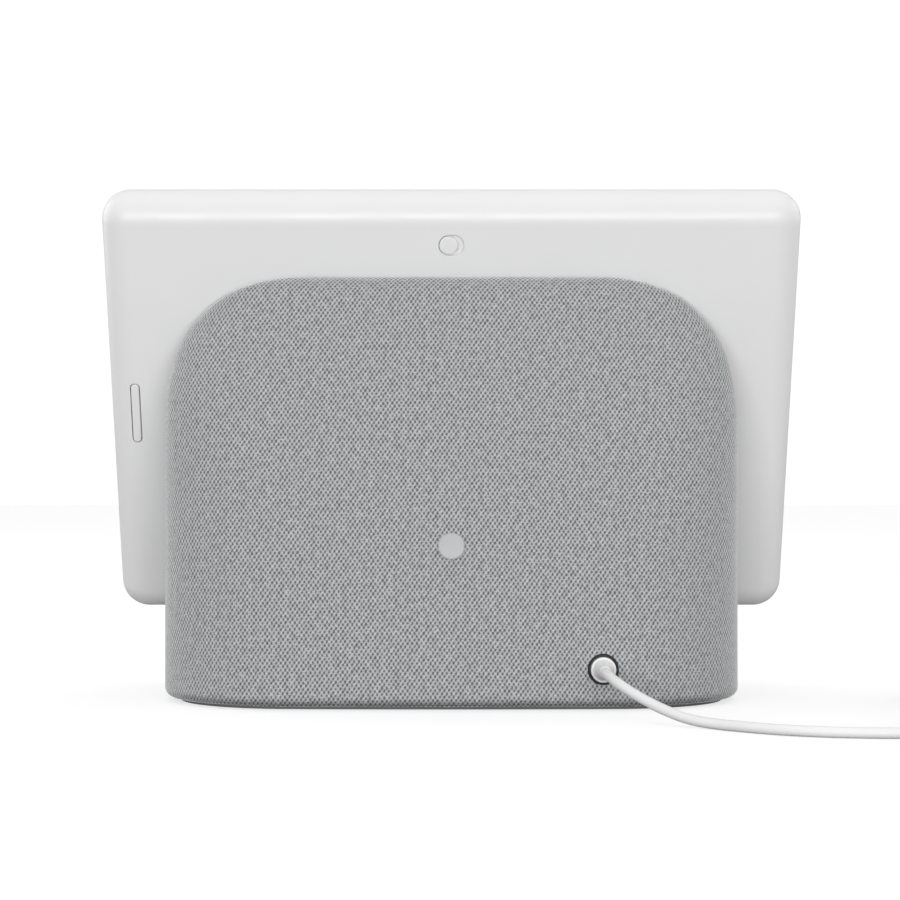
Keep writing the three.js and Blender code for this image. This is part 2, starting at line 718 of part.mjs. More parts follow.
function speakerHousing() {
  const bosses = atBaseScrews(BOSS.radius, HOUSING_BOTTOM, BOSS.top, 12);
  const bores = atBaseScrews(SCREW_HOLE, 0, BOSS.boreTop, SCREW_SIDES);
  const wooferHole = peg(WOOFER_HOLE_RADIUS, -12, 20, 0, 0, 28).applyMatrix4(wooferFrame.matrixWorld);
  const tweeterHole = (side) => peg(TWEETER_HOLE_RADIUS, -40, -20, side * TWEETER_X, TWEETER_Z, 16);
  const window = roundedPlate(
    BRACKET.width + 2 * GAP, BRACKET.height + 2 * GAP, BRACKET.corner, -20, -10, 0, BRACKET.y,
  ).applyMatrix4(head.matrixWorld);
  const shell = join(housingShell(), ...bosses);
  return cut(shell, ...bores, wooferHole, tweeterHole(-1), tweeterHole(1), jackHole(), window);
}

function basePlate() {
  const sheet = plate(footprint(PLATE_INSET), PLATE_BOTTOM, PLATE_TOP);
  const holes = atBaseScrews(SCREW_HOLE, 0, PLATE_TOP + 1, SCREW_SIDES);
  const sinks = atBaseScrews(SINK_RADIUS, 0, PLATE_BOTTOM + SCREW_SINK, 14);
  return cut(sheet, ...holes, ...sinks);
}

function badge() {
  const [back, side, edge, crown] = [0.3, 0.7, 0.95, 1.2];
  const dome = turned([[0, back], [BADGE_RADIUS, back], [BADGE_RADIUS, side], [BADGE_RADIUS - 0.4, edge],
    [0, crown]], 28);
  return dome.rotateX(Math.atan(BASE.lean + 0.02)).translate(0, baseRearY(BADGE_Z), BADGE_Z);
}

function buildBase() {
  add(base, "fabric_sleeve", fabricSleeve(), FABRIC);
  add(base, "speaker_housing", speakerHousing(), DARK_PLASTIC);
  add(base, "base_plate", basePlate(), GREY_PLASTIC);
  add(base, "rubber_foot", plate(footprint(FOOT_INSET), 0, FOOT_HEIGHT), RUBBER);
  baseScrewPlaces().forEach(([x, y], index) => {
    const place = PLATE_BOTTOM + SCREW_SINK - GAP;
    const body = screw(BASE_SCREW_LENGTH).rotateX(Math.PI / 2).translate(x, y, place);
    add(base, "base_screw_" + (index + 1), body, STEEL);
  });
  add(base, "rear_badge", badge(), GREY_PLASTIC);
}

function wooferPiece(name, profile, material) {
  const scaled = profile.map(([r, y]) => [r * WOOFER_SCALE, y * WOOFER_SCALE]);
  add(base, name, turned(scaled, 24).applyMatrix4(wooferFrame.matrixWorld), material);
}

function buildWoofer() {
  wooferPiece("woofer_basket", [[39, 0], [39, -2], [35.2, -2], [22.8, -22.6], [13, -22.6], [13, -21],
    [21.8, -21], [33.5, -1.6], [33.5, 0], [39, 0]], STEEL);
  wooferPiece("woofer_magnet", [[0, -22.9], [20, -22.9], [20, -35], [0, -35]], BLACK);
  wooferPiece("woofer_cone", [[27, -1.2], [27, -2.2], [11.3, -13], [11.3, -12], [27, -1.2]], BLACK);
  wooferPiece("woofer_surround", [[27.3, -1.6], [33.2, -1.6], [33.2, -0.6], [31.8, 1.2], [30.2, 1.9],
    [28.6, 1.2], [27.3, -0.6], [27.3, -1.6]], RUBBER);
  wooferPiece("woofer_dust_cap", [[0, -13], [11, -13], [11, -11.6], [7, -9.6], [0, -8.6]], BLACK);
}

function buildTweeters() {
  for (const [name, side] of [["tweeter_left", -1], ["tweeter_right", 1]]) {
    const profile = [[0, -12], [8, -12], [8, -2], [11, -2], [11, 0], [7, 0], [5, 1.2], [0, 1.9]];
    const body = turned(profile, 18).rotateX(Math.PI).translate(side * TWEETER_X, TWEETER_Y, TWEETER_Z);
    add(base, name, body, BLACK);
  }
}

const JACK = { half: 6, back: 27, boreRadius: 3.1, boreEnd: 31 };
const RING_END_Y = 48.4;
const POWER_BOARD = { low: [-72, 2, 5.4], high: [-22, 37, 6.9] };

function dcJack() {
  const { half, back, boreRadius, boreEnd } = JACK;
  const block = box([JACK_X - half, back, JACK_Z - half], [JACK_X + half, JACK_FACE_Y, JACK_Z + half]);
  return cut(block, peg(boreRadius, boreEnd, JACK_FACE_Y + 1, JACK_X, JACK_Z, 16));
}

function jackRing() {
  const inner = RING_RADIUS - RING_WALL;
  const start = JACK_FACE_Y + GAP;
  const ring = turned([[inner, start], [RING_RADIUS, start], [RING_RADIUS, RING_END_Y], [inner, RING_END_Y],
    [inner, start]], 24);
  return ring.translate(JACK_X, 0, JACK_Z);
}

function buildElectronics() {
  add(base, "power_board", box(POWER_BOARD.low, POWER_BOARD.high), BOARD_GREEN);
  add(base, "dc_jack", dcJack(), BLACK);
  add(base, "jack_pin", peg(PIN_RADIUS, JACK.boreEnd + GAP, JACK_FACE_Y - 2, JACK_X, JACK_Z, 12), BRASS);
  add(base, "jack_ring", jackRing(), DARK_PLASTIC);
  const harness = [[-40, 10, 8.6], [-36, 9, 18], [-26, 8, 30], [-18, 6, 36], [-10, 1.5, 44]];
  add(base, "speaker_harness", tube(harness, 1.2, 8), BLACK);
}

// ---------------------------------------------------------------- power lead

const BOOT_TIP_Y = PLUG_FACE_Y + GAP + BOOT_LENGTH;

// The lead falls from the plug to the table, sweeps round and runs straight to the outer turn of the coil.
const LEAD_ROUTE = [
  [JACK_X, BOOT_TIP_Y + GAP, JACK_Z], [JACK_X, BOOT_TIP_Y + 2, 13.96], [-53.3, 65.5, 13], [-56, 71.5, 11.2],
  [-59.6, 77, 9.1], [-63.6, 82.3, 7.1], [-69, 88.8, 4.8], [-76.5, 96.5, 2.6], [-85, 104, CORD_Z],
  [-91, 109.8, CORD_Z], [-96.8, 114.6, CORD_Z], [-102.6, 118.6, CORD_Z], [-108.5, 121.6, CORD_Z],
  [-114.3, 123.9, CORD_Z], [-120.4, 125.5, CORD_Z], [-127, 126.7, CORD_Z], [-137, 127.4, CORD_Z],
  [-148, 127.5, CORD_Z], [-163, 127.5, CORD_Z],
];

const COIL_OUTER = COIL.radius + (COIL.across * COIL.pitch) / 2;
const COIL_INNER = COIL.radius - (COIL.across * COIL.pitch) / 2;
const COIL_TOP = COIL.layers * CORD_DIAMETER + 0.5;
const ADAPTER_REAR_Y = ADAPTER.y + ADAPTER.length / 2;
const RELIEF_TIP_Y = ADAPTER_REAR_Y + 13;

// The tail leaves the coil's upper layer, comes down beside it and meets the adapter's strain relief.
const TAIL_ROUTE = [
  [-211.4, 92, 2.5], [-210.6, 84, 2], [-207.2, 76.5, 2], [-201.5, 70.5, 3.2], [-196, 66.3, 5.5],
  [-192.8, 63.6, 7.3], [ADAPTER.x, 61, ADAPTER_RELIEF_Z], [ADAPTER.x, RELIEF_TIP_Y + GAP, ADAPTER_RELIEF_Z],
];

function plugHead() {
  const rim = PLUG_FACE_Y - 0.5;
  return turned([[0, PLUG_HEAD_END_Y], [PLUG_RADIUS, PLUG_HEAD_END_Y], [PLUG_RADIUS, rim],
    [PLUG_RADIUS - 0.5, PLUG_FACE_Y], [0, PLUG_FACE_Y]], 24).translate(JACK_X, 0, JACK_Z);
}

function plugBarrel() {
  const { radius, tip, boreRadius, boreEnd } = BARREL;
  const root = PLUG_HEAD_END_Y - GAP;
  return turned([[0, boreEnd], [boreRadius, boreEnd], [boreRadius, tip], [radius, tip], [radius, root],
    [0, root]], 16).translate(JACK_X, 0, JACK_Z);
}

function plugBoot() {
  const root = PLUG_FACE_Y + GAP;
  return turned([[0, root], [3.3, root], [2.5, root + 2.5], [2.05, BOOT_TIP_Y], [0, BOOT_TIP_Y]], 16)
    .translate(JACK_X, 0, JACK_Z);
}

function coil() {
  const [inner, outer, floor] = [COIL_INNER, COIL_OUTER, 0.02];
  return turned([[inner, floor], [outer, floor], [outer, COIL_TOP], [inner, COIL_TOP], [inner, floor]], 32)
    .rotateX(Math.PI / 2).translate(COIL.x, COIL.y, 0);
}

function adapterRelief() {
  const root = ADAPTER_REAR_Y + GAP;
  return turned([[0, root], [3.4, root], [2.1, RELIEF_TIP_Y], [0, RELIEF_TIP_Y]], 14)
    .translate(ADAPTER.x, 0, ADAPTER_RELIEF_Z);
}

function buildLead() {
  add(lead, "plug_head", plugHead(), WHITE_CORD);
  add(lead, "plug_barrel", plugBarrel(), STEEL);
  add(lead, "plug_strain_relief", plugBoot(), WHITE_CORD);
  add(lead, "cord_lead", tube(LEAD_ROUTE, CORD_RADIUS, 36), WHITE_CORD);
  add(lead, "cord_coil", coil(), WHITE_CORD);
  add(lead, "cord_tail", tube(TAIL_ROUTE, CORD_RADIUS, 12), WHITE_CORD);
  const block = new RoundedBoxGeometry(ADAPTER.width, ADAPTER.length, ADAPTER.height, 2, ADAPTER.corner);
  add(lead, "adapter_body", block.translate(ADAPTER.x, ADAPTER.y, ADAPTER.height / 2), WHITE_CORD);
  add(lead, "adapter_strain_relief", adapterRelief(), WHITE_CORD);
  const front = ADAPTER.y - ADAPTER.length / 2 - GAP;
  for (const [name, side] of [["adapter_prong_1", -1], ["adapter_prong_2", 1]]) {
    const left = ADAPTER.x + (side * PRONG.spacing - PRONG.thickness) / 2;
    const low = [left, front - PRONG.length, PRONG.bottom];
    add(lead, name, box(low, [left + PRONG.thickness, front, PRONG.top]), BRASS);
  }
}

buildHead();
buildJoint();
buildBase();
buildWoofer();
buildTweeters();
buildElectronics();
buildLead();

export default display;
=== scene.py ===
# A smart display: a tilted screen on a knit-covered speaker base, with its power lead.
# Shapes are built in millimetres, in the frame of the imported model, and scaled to metres as they are placed.
import json
import math

import bpy
from mathutils import Matrix, Vector

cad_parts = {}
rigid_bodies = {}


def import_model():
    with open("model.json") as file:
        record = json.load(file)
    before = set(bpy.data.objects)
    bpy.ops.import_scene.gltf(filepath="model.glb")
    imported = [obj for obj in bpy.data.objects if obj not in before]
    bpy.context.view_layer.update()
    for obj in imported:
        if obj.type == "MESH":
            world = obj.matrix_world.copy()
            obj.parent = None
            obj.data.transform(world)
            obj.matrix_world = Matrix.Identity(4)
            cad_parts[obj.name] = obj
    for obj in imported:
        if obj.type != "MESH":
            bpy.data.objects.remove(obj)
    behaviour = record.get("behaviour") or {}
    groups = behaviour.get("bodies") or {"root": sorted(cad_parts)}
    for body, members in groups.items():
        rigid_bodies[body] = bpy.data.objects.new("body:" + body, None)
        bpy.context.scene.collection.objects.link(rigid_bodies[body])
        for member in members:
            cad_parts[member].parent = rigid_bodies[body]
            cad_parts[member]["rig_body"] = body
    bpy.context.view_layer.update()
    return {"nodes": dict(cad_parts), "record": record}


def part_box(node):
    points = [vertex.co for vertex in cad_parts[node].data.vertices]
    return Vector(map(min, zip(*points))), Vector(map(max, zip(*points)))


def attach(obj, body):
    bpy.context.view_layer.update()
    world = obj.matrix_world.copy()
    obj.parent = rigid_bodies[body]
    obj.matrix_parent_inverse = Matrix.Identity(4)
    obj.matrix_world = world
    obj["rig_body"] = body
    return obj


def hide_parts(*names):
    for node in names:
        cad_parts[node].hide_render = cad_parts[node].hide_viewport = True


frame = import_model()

# ---------------------------------------------------------------- driving dimensions (mm)

MM = 0.001
TILT = math.radians(22.3)
HEAD_BOTTOM = (0, -51.16, 32.5)
HEAD_WIDTH = 250.1
HEAD_HEIGHT = 163
HEAD_MIDDLE = HEAD_HEIGHT / 2
HEAD_THICKNESS = 14
HEAD_CORNER = 10.4
LIP_INSET = 1.6
LIP_DEPTH = 4
REAR_RADIUS = 10
WALL = 2.3
LIP_ROUND = 0.3
INSIDE_BEND = (-8, 3.8)  # z, and how far in from the outline
INSIDE_FLOOR_INSET = 9
TOOL_REACH = 1
REAR_WALL_INSIDE = -HEAD_THICKNESS + WALL

SCREEN_WIDTH = 217
SCREEN_HEIGHT = 136
SCREEN_CORNER = 2
GLASS_LAYER = (-1.2, -0.1)  # from and to, up the head's z
MASK_LAYER = (-1.9, -1.5)
PANEL_LAYER = (-4.6, -2.2)
PANEL_MARGIN = 7
PANEL_CORNER = 1
EYE_RADIUS = 2.2
WINDOW_CUT = (-3, 0)
CAMERA_Y = 156.7

SWITCH_Y = 145.6
SWITCH_TRAVEL = 2
KNOB_RADIUS = 3.3
KNOB_PROUD = 0.45
KNOB_EDGE = 0.35
KNOB_DOME = 0.1
STEM_HALF = 0.7
STEM_END = -10.4
STEM_SLOT_FLOOR = -10.7
RECESS_WIDTH = 9.2
RECESS_HEIGHT = 7.7
RECESS_DEPTH = 1.1
ROCKER_X = 115.3
ROCKER_LENGTH = 22.5
ROCKER_WIDTH = 3
ROCKER_PIVOT_Z = -10.9
ROCKER_PROUD = 0.2
ROCKER_EDGE = 0.45
AXLE_RADIUS = 0.6
AXLE_HALF = 2.7
POCKET_HALF_WIDTH = 3.4
POCKET_HALF_LENGTH = 14
POCKET_TOP = -11.8
POCKET_FLOOR = -9
CABLE_SLOT_HALF = 9
CABLE_SLOT_FROM = 50.4
CABLE_SLOT_TO = 53.6
CABLE_SLOT_FLOOR = -11
GAP = 0.3

BASE_HALF_WIDTH = 102.6
BASE_BOTTOM = 1.2
BASE_TOP = 151
BASE_REAR_Y = 51.2
BASE_LEAN = 0.13
BASE_TOP_PULL = 9
BASE_BOW = 1.2
BASE_FLAT_HALF = 55
BASE_MIDDLE_Y = 8
BASE_FRONT_DEPTH = 41
BASE_END_LENGTH = 48
EDGE_RADIUS = 3.5
TOP_ROUND = 8
ARCH_FLAT_HALF = 50
ARCH_SPAN = 52.6
ARCH_DROP = 58
ARCH_POWER = 2.45
FABRIC_THICKNESS = 1
HEAD_CLEARANCE = 0.35
PLATE_INSET = 3.4
PLATE_LAYER = (1.9, 4.6)  # from and to, up the base's z
FOOT_INSET = 5.5
FOOT_LAYER = (0, 1.6)

JACK_X = -52
JACK_Z = 14
PLUG_RADIUS = 4.35
PLUG_FACE_Y = 50.2
PLUG_HEAD_END_Y = 43.3
JACK_FACE_Y = 42
JACK_HOLE = (30, 60)  # from and to, along Y
RING_FACE_Y = 48.4
RING_BEVEL = 0.15
RING_RADIUS = 5.1
RING_WALL = 0.45
BOOT_LENGTH = 8
BOOT_ROOT_RADIUS = 3.7
BOOT_END_RADIUS = 2.05
BOOT_STEPS = 12

CORD_DIAMETER = 3.5
CORD_RADIUS = CORD_DIAMETER / 2
CORD_Z = 1.8
COIL_X = -178
COIL_Y = 98
COIL_OUTER_TURN = 29.1
TURN_PITCH = 3.75
ADAPTER_X = -192
ADAPTER_Y = 20
ADAPTER_SIZE = (46, 50, 28)
ADAPTER_CORNER = 8
ADAPTER_EDGE = 6
SEAM_SHARE = 0.62  # how far up the adapter its parting line runs
SEAM_DEPTH = 0.25
SEAM_HALF = 0.35
RELIEF_Z = 8
RELIEF_LENGTH = 12.8
RELIEF_RIDGE = 0.25
RELIEF_STEPS = 10
PRONG_CORNER = 1.5
PRONG_HOLE_RADIUS = 1.5
PRONG_HOLE_FROM_TIP = 4

BADGE_Z = 56
BADGE_RADIUS = 4.55
BADGE_FOOT = 0.3
BADGE_SIDE = 0.6
BADGE_EDGE = 0.35
BADGE_RIM_RISE = 0.3
BADGE_DOME = 0.25

EYELET_ACROSS = 1.582
EYELET_ROWS = 2.3  # two staggered rows
CLOTH_DROP = 0.026  # how steeply the rows of eyelets drop from the middle of the back
DROP_ROUND = 12
PAINTED_SHADE_HEIGHT = 5.5  # painted shade: the cloth's colour darkens over this height at its lower edge, where it rounds under into shadow
PAINTED_SHADE_BOTTOM = 0.28
YARN_TONE = (0.475, 0.488, 0.494)
EYELET_TONE = (0.10, 0.105, 0.11)

BASE_FRAME = Matrix.Scale(MM, 4)
HEAD_FRAME = (
    Matrix.Translation(Vector(HEAD_BOTTOM) * MM)
    @ Matrix.Rotation(math.pi / 2 - TILT, 4, "X")
    @ Matrix.Scale(MM, 4)
)


# ---------------------------------------------------------------- camera

def add_camera():
    """A long lens behind the display, level with its middle and looking at its back."""
    data = bpy.data.cameras.new("camera")
    data.sensor_width = 36
    data.lens = 94.4
    data.clip_start = 0.01
    camera = bpy.data.objects.new("camera", data)
    camera.location = (0.0005, 0.856, 0.0892)
    camera.rotation_euler = (math.pi / 2, 0, math.pi)
    bpy.context.scene.collection.objects.link(camera)
    bpy.context.scene.camera = camera


# ---------------------------------------------------------------- node helpers

def new_material(name, **shader_values):
    """A material with its shader's own sockets set, by name with _ for a space."""
    material = bpy.data.materials.new(name)
    material.use_nodes = True
    shader = material.node_tree.nodes["Principled BSDF"]
    for key, value in shader_values.items():
        shader.inputs[key.replace("_", " ")].default_value = value
    return material, material.node_tree, shader


def node(tree, kind, inputs=None, **settings):
    made = tree.nodes.new(kind)
    for key, value in settings.items():
        setattr(made, key, value)
    for key, value in (inputs or {}).items():
        if isinstance(value, bpy.types.NodeSocket):
            tree.links.new(value, made.inputs[key])
        else:
            made.inputs[key].default_value = value
    return made


def calc(tree, operation, *values):
    return node(tree, "ShaderNodeMath", dict(enumerate(values)), operation=operation).outputs[0]


def ramp(tree, value, low, high, to_low=0.0, to_high=1.0):
    """A smooth step from to_low to to_high as value goes from low to high."""
    inputs = {"Value": value, "From Min": low, "From Max": high, "To Min": to_low, "To Max": to_high}
    return node(tree, "ShaderNodeMapRange", inputs, interpolation_type="SMOOTHSTEP").outputs["Result"]


def blend_colours(tree, factor, first, second):
    made = node(tree, "ShaderNodeMix", data_type="RGBA")
    for socket, value in ((made.inputs[0], factor), (made.inputs[6], first), (made.inputs[7], second)):
        if isinstance(value, bpy.types.NodeSocket):
            tree.links.new(value, socket)
        else:
            socket.default_value = value
    return made.outputs[2]


def noise(tree, vector, scale, detail=2.0, roughness=0.5):
    inputs = {"Vector": vector, "Scale": scale, "Detail": detail, "Roughness": roughness}
    return node(tree, "ShaderNodeTexNoise", inputs)


def bump(tree, height, distance, strength=1.0):
    inputs = {"Height": height, "Distance": distance, "Strength": strength}
    return node(tree, "ShaderNodeBump", inputs).outputs[0]


def object_place(tree, stretch=(1, 1, 1)):
    """Places on the piece in metres, stretched along an axis where a grain runs that way."""
    spot = node(tree, "ShaderNodeTexCoord").outputs["Object"]
    return node(tree, "ShaderNodeMapping", {"Vector": spot, "Scale": stretch}).outputs[0]


def colour(*rgb):
    return (*rgb, 1.0)


# ---------------------------------------------------------------- materials

def moulded(name, tone, roughness, grain=0.0004, grain_depth=0.00002, mottle=0.04, **shader_values):
    """Moulded plastic or rubber: a fine spark-eroded grain, a little mottling and marks in the gloss."""
    material, tree, shader = new_material(name, **shader_values)
    spot = object_place(tree)
    cloud = noise(tree, spot, 24, 3).outputs[0]
    fine = noise(tree, spot, 1 / grain, 2, 0.6).outputs[0]
    darker = colour(*[channel * (1 - mottle) for channel in tone])
    mixed = blend_colours(tree, ramp(tree, cloud, 0.3, 0.7), darker, colour(*tone))
    tree.links.new(mixed, shader.inputs["Base Color"])
    smear = noise(tree, object_place(tree, (1, 1, 3)), 60, 4, 0.7).outputs[0]
    gloss = ramp(tree, smear, 0.35, 0.7, roughness - 0.04, roughness + 0.04)
    tree.links.new(gloss, shader.inputs["Roughness"])
    tree.links.new(bump(tree, fine, grain_depth), shader.inputs["Normal"])
    return material


def metal(name, tone, roughness, stretch=(1, 1, 30), **shader_values):
    """Rolled or turned metal with fine drawn lines and a few dull patches."""
    material, tree, shader = new_material(name, Metallic=1.0, **shader_values)
    lines = noise(tree, object_place(tree, stretch), 900, 3, 0.7).outputs[0]
    patches = noise(tree, object_place(tree), 90, 3).outputs[0]
    darker = colour(*[channel * 0.82 for channel in tone])
    tree.links.new(blend_colours(tree, patches, darker, colour(*tone)), shader.inputs["Base Color"])
    tree.links.new(ramp(tree, lines, 0.3, 0.7, roughness - 0.08, roughness + 0.1), shader.inputs["Roughness"])
    tree.links.new(bump(tree, lines, 0.00001, 0.5), shader.inputs["Normal"])
    return material


def circuit_board():
    """Green solder mask over fine copper tracks, with plated pads."""
    material, tree, shader = new_material("circuit_board_face")
    spot = object_place(tree)
    bricks = node(tree, "ShaderNodeTexBrick", {
        "Vector": spot, "Scale": 260, "Mortar Size": 0.06, "Brick Width": 0.9, "Row Height": 0.22,
        "Color1": colour(0.012, 0.10, 0.045), "Color2": colour(0.014, 0.13, 0.055),
        "Mortar": colour(0.05, 0.24, 0.10),
    })
    dots = node(tree, "ShaderNodeTexVoronoi", {"Vector": spot, "Scale": 210}).outputs["Distance"]
    pads = ramp(tree, dots, 0.18, 0.22, 1.0, 0.0)
    gold = blend_colours(tree, pads, bricks.outputs["Color"], colour(0.65, 0.5, 0.2))
    tree.links.new(gold, shader.inputs["Base Color"])
    tree.links.new(pads, shader.inputs["Metallic"])
    tree.links.new(ramp(tree, pads, 0, 1, 0.42, 0.25), shader.inputs["Roughness"])
    tree.links.new(bump(tree, bricks.outputs["Fac"], 0.00003), shader.inputs["Normal"])
    return material


def flex_film():
    """Amber polyimide film over parallel copper tracks."""
    material, tree, shader = new_material("flex_film_face", Coat_Weight=0.5, Coat_Roughness=0.2)
    spot = object_place(tree)
    stripes = node(tree, "ShaderNodeTexWave", {"Vector": spot, "Scale": 180, "Distortion": 0.2}).outputs[1]
    tracks = ramp(tree, stripes, 0.4, 0.6)
    film = blend_colours(tree, tracks, colour(0.35, 0.14, 0.02), colour(0.62, 0.30, 0.07))
    tree.links.new(film, shader.inputs["Base Color"])
    tree.links.new(ramp(tree, tracks, 0, 1, 0.5, 0.3), shader.inputs["Roughness"])
    return material


def cone_paper():
    """Pressed paper with loose fibres."""
    material, tree, shader = new_material("cone_paper_face")
    fibres = noise(tree, object_place(tree, (1, 4, 1)), 700, 5, 0.75).outputs[0]
    pressed = ramp(tree, fibres, 0.3, 0.75)
    paper = blend_colours(tree, pressed, colour(0.012, 0.012, 0.013), colour(0.05, 0.05, 0.052))
    tree.links.new(paper, shader.inputs["Base Color"])
    tree.links.new(ramp(tree, fibres, 0.3, 0.7, 0.75, 0.95), shader.inputs["Roughness"])
    tree.links.new(bump(tree, fibres, 0.00006), shader.inputs["Normal"])
    return material


def cover_glass():
    """Clear cover glass with faint wipe marks in its gloss."""
    material, tree, shader = new_material("cover_glass_face", Transmission_Weight=1.0, IOR=1.45)
    marks = noise(tree, object_place(tree, (1, 3, 1)), 40, 4, 0.7).outputs[0]
    clear = blend_colours(tree, marks, colour(0.97, 0.985, 0.98), colour(0.99, 0.995, 0.99))
    tree.links.new(clear, shader.inputs["Base Color"])
    tree.links.new(ramp(tree, marks, 0.4, 0.8, 0.01, 0.05), shader.inputs["Roughness"])
    return material


def screen_face():
    """A switched-off panel: nearly black, with its pixel grid just there."""
    material, tree, shader = new_material("screen_face", Coat_Weight=0.4, Coat_Roughness=0.1)
    spot = object_place(tree)
    grid = node(tree, "ShaderNodeTexChecker", {
        "Vector": spot, "Scale": 6000,
        "Color1": colour(0.004, 0.0045, 0.006), "Color2": colour(0.007, 0.0075, 0.009),
    })
    tree.links.new(grid.outputs["Color"], shader.inputs["Base Color"])
    haze = noise(tree, spot, 15, 3).outputs[0]
    tree.links.new(ramp(tree, haze, 0.3, 0.7, 0.16, 0.24), shader.inputs["Roughness"])
    return material


def wave(tree, first, second, operation):
    """A wave of height 1 across one of the weave's two diagonals."""
    turns = calc(tree, operation, first, second)
    return calc(tree, "COSINE", calc(tree, "MULTIPLY", turns, 2 * math.pi))


def knit_fabric():
    """Grey acoustic knit: rows of staggered eyelets, with the yarn raised most along one diagonal."""
    material, tree, shader = new_material("knit_fabric_face", Sheen_Weight=1.0, Sheen_Roughness=0.3)
    cloth = node(tree, "ShaderNodeUVMap", uv_map="cloth").outputs[0]
    wobble = noise(tree, cloth, 0.5, 2, 0.6).outputs["Color"]
    middle = (0.5, 0.5, 0.5)
    centred = node(tree, "ShaderNodeVectorMath", {0: wobble, 1: middle}, operation="SUBTRACT").outputs[0]
    pull = {0: centred, 1: (0.5, 0.5, 0), 2: cloth}
    pulled = node(tree, "ShaderNodeVectorMath", pull, operation="MULTIPLY_ADD")
    split = node(tree, "ShaderNodeSeparateXYZ", {0: pulled.outputs[0]}).outputs
    aside = calc(tree, "SQRT", calc(tree, "MULTIPLY_ADD", split[0], split[0], DROP_ROUND ** 2))
    up = calc(tree, "MULTIPLY_ADD", aside, CLOTH_DROP, split[1])
    across = calc(tree, "DIVIDE", split[0], EYELET_ACROSS)
    down = calc(tree, "DIVIDE", up, EYELET_ROWS)
    rising = calc(tree, "MULTIPLY", wave(tree, across, down, "SUBTRACT"), 0.55)
    falling = calc(tree, "MULTIPLY_ADD", wave(tree, across, down, "ADD"), 0.45, rising)
    uneven = calc(tree, "SUBTRACT", noise(tree, cloth, 0.45, 3, 0.6).outputs[0], 0.5)
    weave = calc(tree, "MULTIPLY_ADD", uneven, 1.5, falling)
    holes = ramp(tree, weave, -0.55, 1.0)
    turn = {"Vector": cloth, "Rotation": (0, 0, math.radians(-56)), "Scale": (0.7, 2.6, 1)}
    strands = noise(tree, node(tree, "ShaderNodeMapping", turn).outputs[0], 1.0, 3, 0.6).outputs[0]
    dark_yarn = colour(*[0.72 * channel for channel in YARN_TONE])
    light_yarn = colour(*[1.2 * channel for channel in YARN_TONE])
    yarn = blend_colours(tree, ramp(tree, strands, 0.3, 0.72), dark_yarn, light_yarn)
    knit = blend_colours(tree, holes, yarn, colour(*EYELET_TONE))
    # painted shade: the colour is darkened towards the lower edge, where the cloth rounds under out of the
    # light
    painted_shade = ramp(tree, split[1], 0, PAINTED_SHADE_HEIGHT, PAINTED_SHADE_BOTTOM, 1.0)
    shaded = node(tree, "ShaderNodeVectorMath", {0: knit, "Scale": painted_shade}, operation="SCALE").outputs[0]
    tree.links.new(shaded, shader.inputs["Base Color"])
    tree.links.new(ramp(tree, strands, 0.3, 0.7, 0.95, 0.75), shader.inputs["Roughness"])
    relief = calc(tree, "MULTIPLY_ADD", strands, 0.4, calc(tree, "MULTIPLY", holes, -1.0))
    tree.links.new(bump(tree, relief, 0.0003, 0.6), shader.inputs["Normal"])
    return material


def make_materials():
    """Every finish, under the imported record's name for it."""
    return {
        "white_shell": moulded(
            "white_shell_face", (0.79, 0.79, 0.79), 0.38, grain_depth=0.000006, mottle=0.015),
        "cover_glass": cover_glass(),
        "bezel_print": moulded("bezel_print_face", (0.72, 0.72, 0.70), 0.45, grain_depth=0.000004),
        "screen": screen_face(),
        "aluminium": metal("aluminium_face", (0.78, 0.79, 0.80), 0.38),
        "steel": metal("steel_face", (0.56, 0.57, 0.58), 0.32),
        "brass": metal("brass_face", (0.78, 0.57, 0.25), 0.26),
        "circuit_board": circuit_board(),
        "flex_film": flex_film(),
        "black_plastic": moulded("black_plastic_face", (0.012, 0.012, 0.013), 0.5),
        "dark_plastic": moulded("dark_plastic_face", (0.02, 0.02, 0.022), 0.45),
        "grey_plastic": moulded("grey_plastic_face", (0.26, 0.27, 0.28), 0.55, grain_depth=0.00004),
        "knit_fabric": knit_fabric(),
        "grey_rubber": moulded("grey_rubber_face", (0.18, 0.185, 0.19), 0.85, 0.0007, 0.00006, 0.12),
        "black_rubber": moulded("black_rubber_face", (0.015, 0.015, 0.015), 0.7, 0.0006, 0.00005, 0.2),
        "cone_paper": cone_paper(),
        "badge_grey": moulded("badge_grey_face", (0.46, 0.475, 0.475), 0.5, grain_depth=0.00001),
        "white_cord": moulded("white_cord_face", (0.80, 0.80, 0.80), 0.5, 0.0006, 0.00003, 0.03),
        "white_adapter": moulded("white_adapter_face", (0.80, 0.80, 0.80), 0.42, 0.0005, 0.00002, 0.02),
    }


# ---------------------------------------------------------------- mesh helpers

def rounded_rectangle(width, height, radius, steps=12):
    """The points of a rounded rectangle about the origin, anticlockwise."""
    points = []
    x = width / 2 - radius
    y = height / 2 - radius
    for corner, (centre_x, centre_y) in enumerate(((x, y), (-x, y), (-x, -y), (x, -y))):
        for step in range(steps + 1):
            angle = (corner + step / steps) * math.pi / 2
            points.append((centre_x + radius * math.cos(angle), centre_y + radius * math.sin(angle)))
    return points


def stadium(width, height, steps=16):
    """A rectangle with fully round ends."""
    return rounded_rectangle(width, height, min(width, height) / 2 - 0.001, steps)


def quarter(steps):
    """Pairs (1 - cos, sin) from (0, 0) to (1, 1) along a quarter circle."""
    angles = [step / steps * math.pi / 2 for step in range(steps + 1)]
    return [(1 - math.cos(angle), math.sin(angle)) for angle in angles]


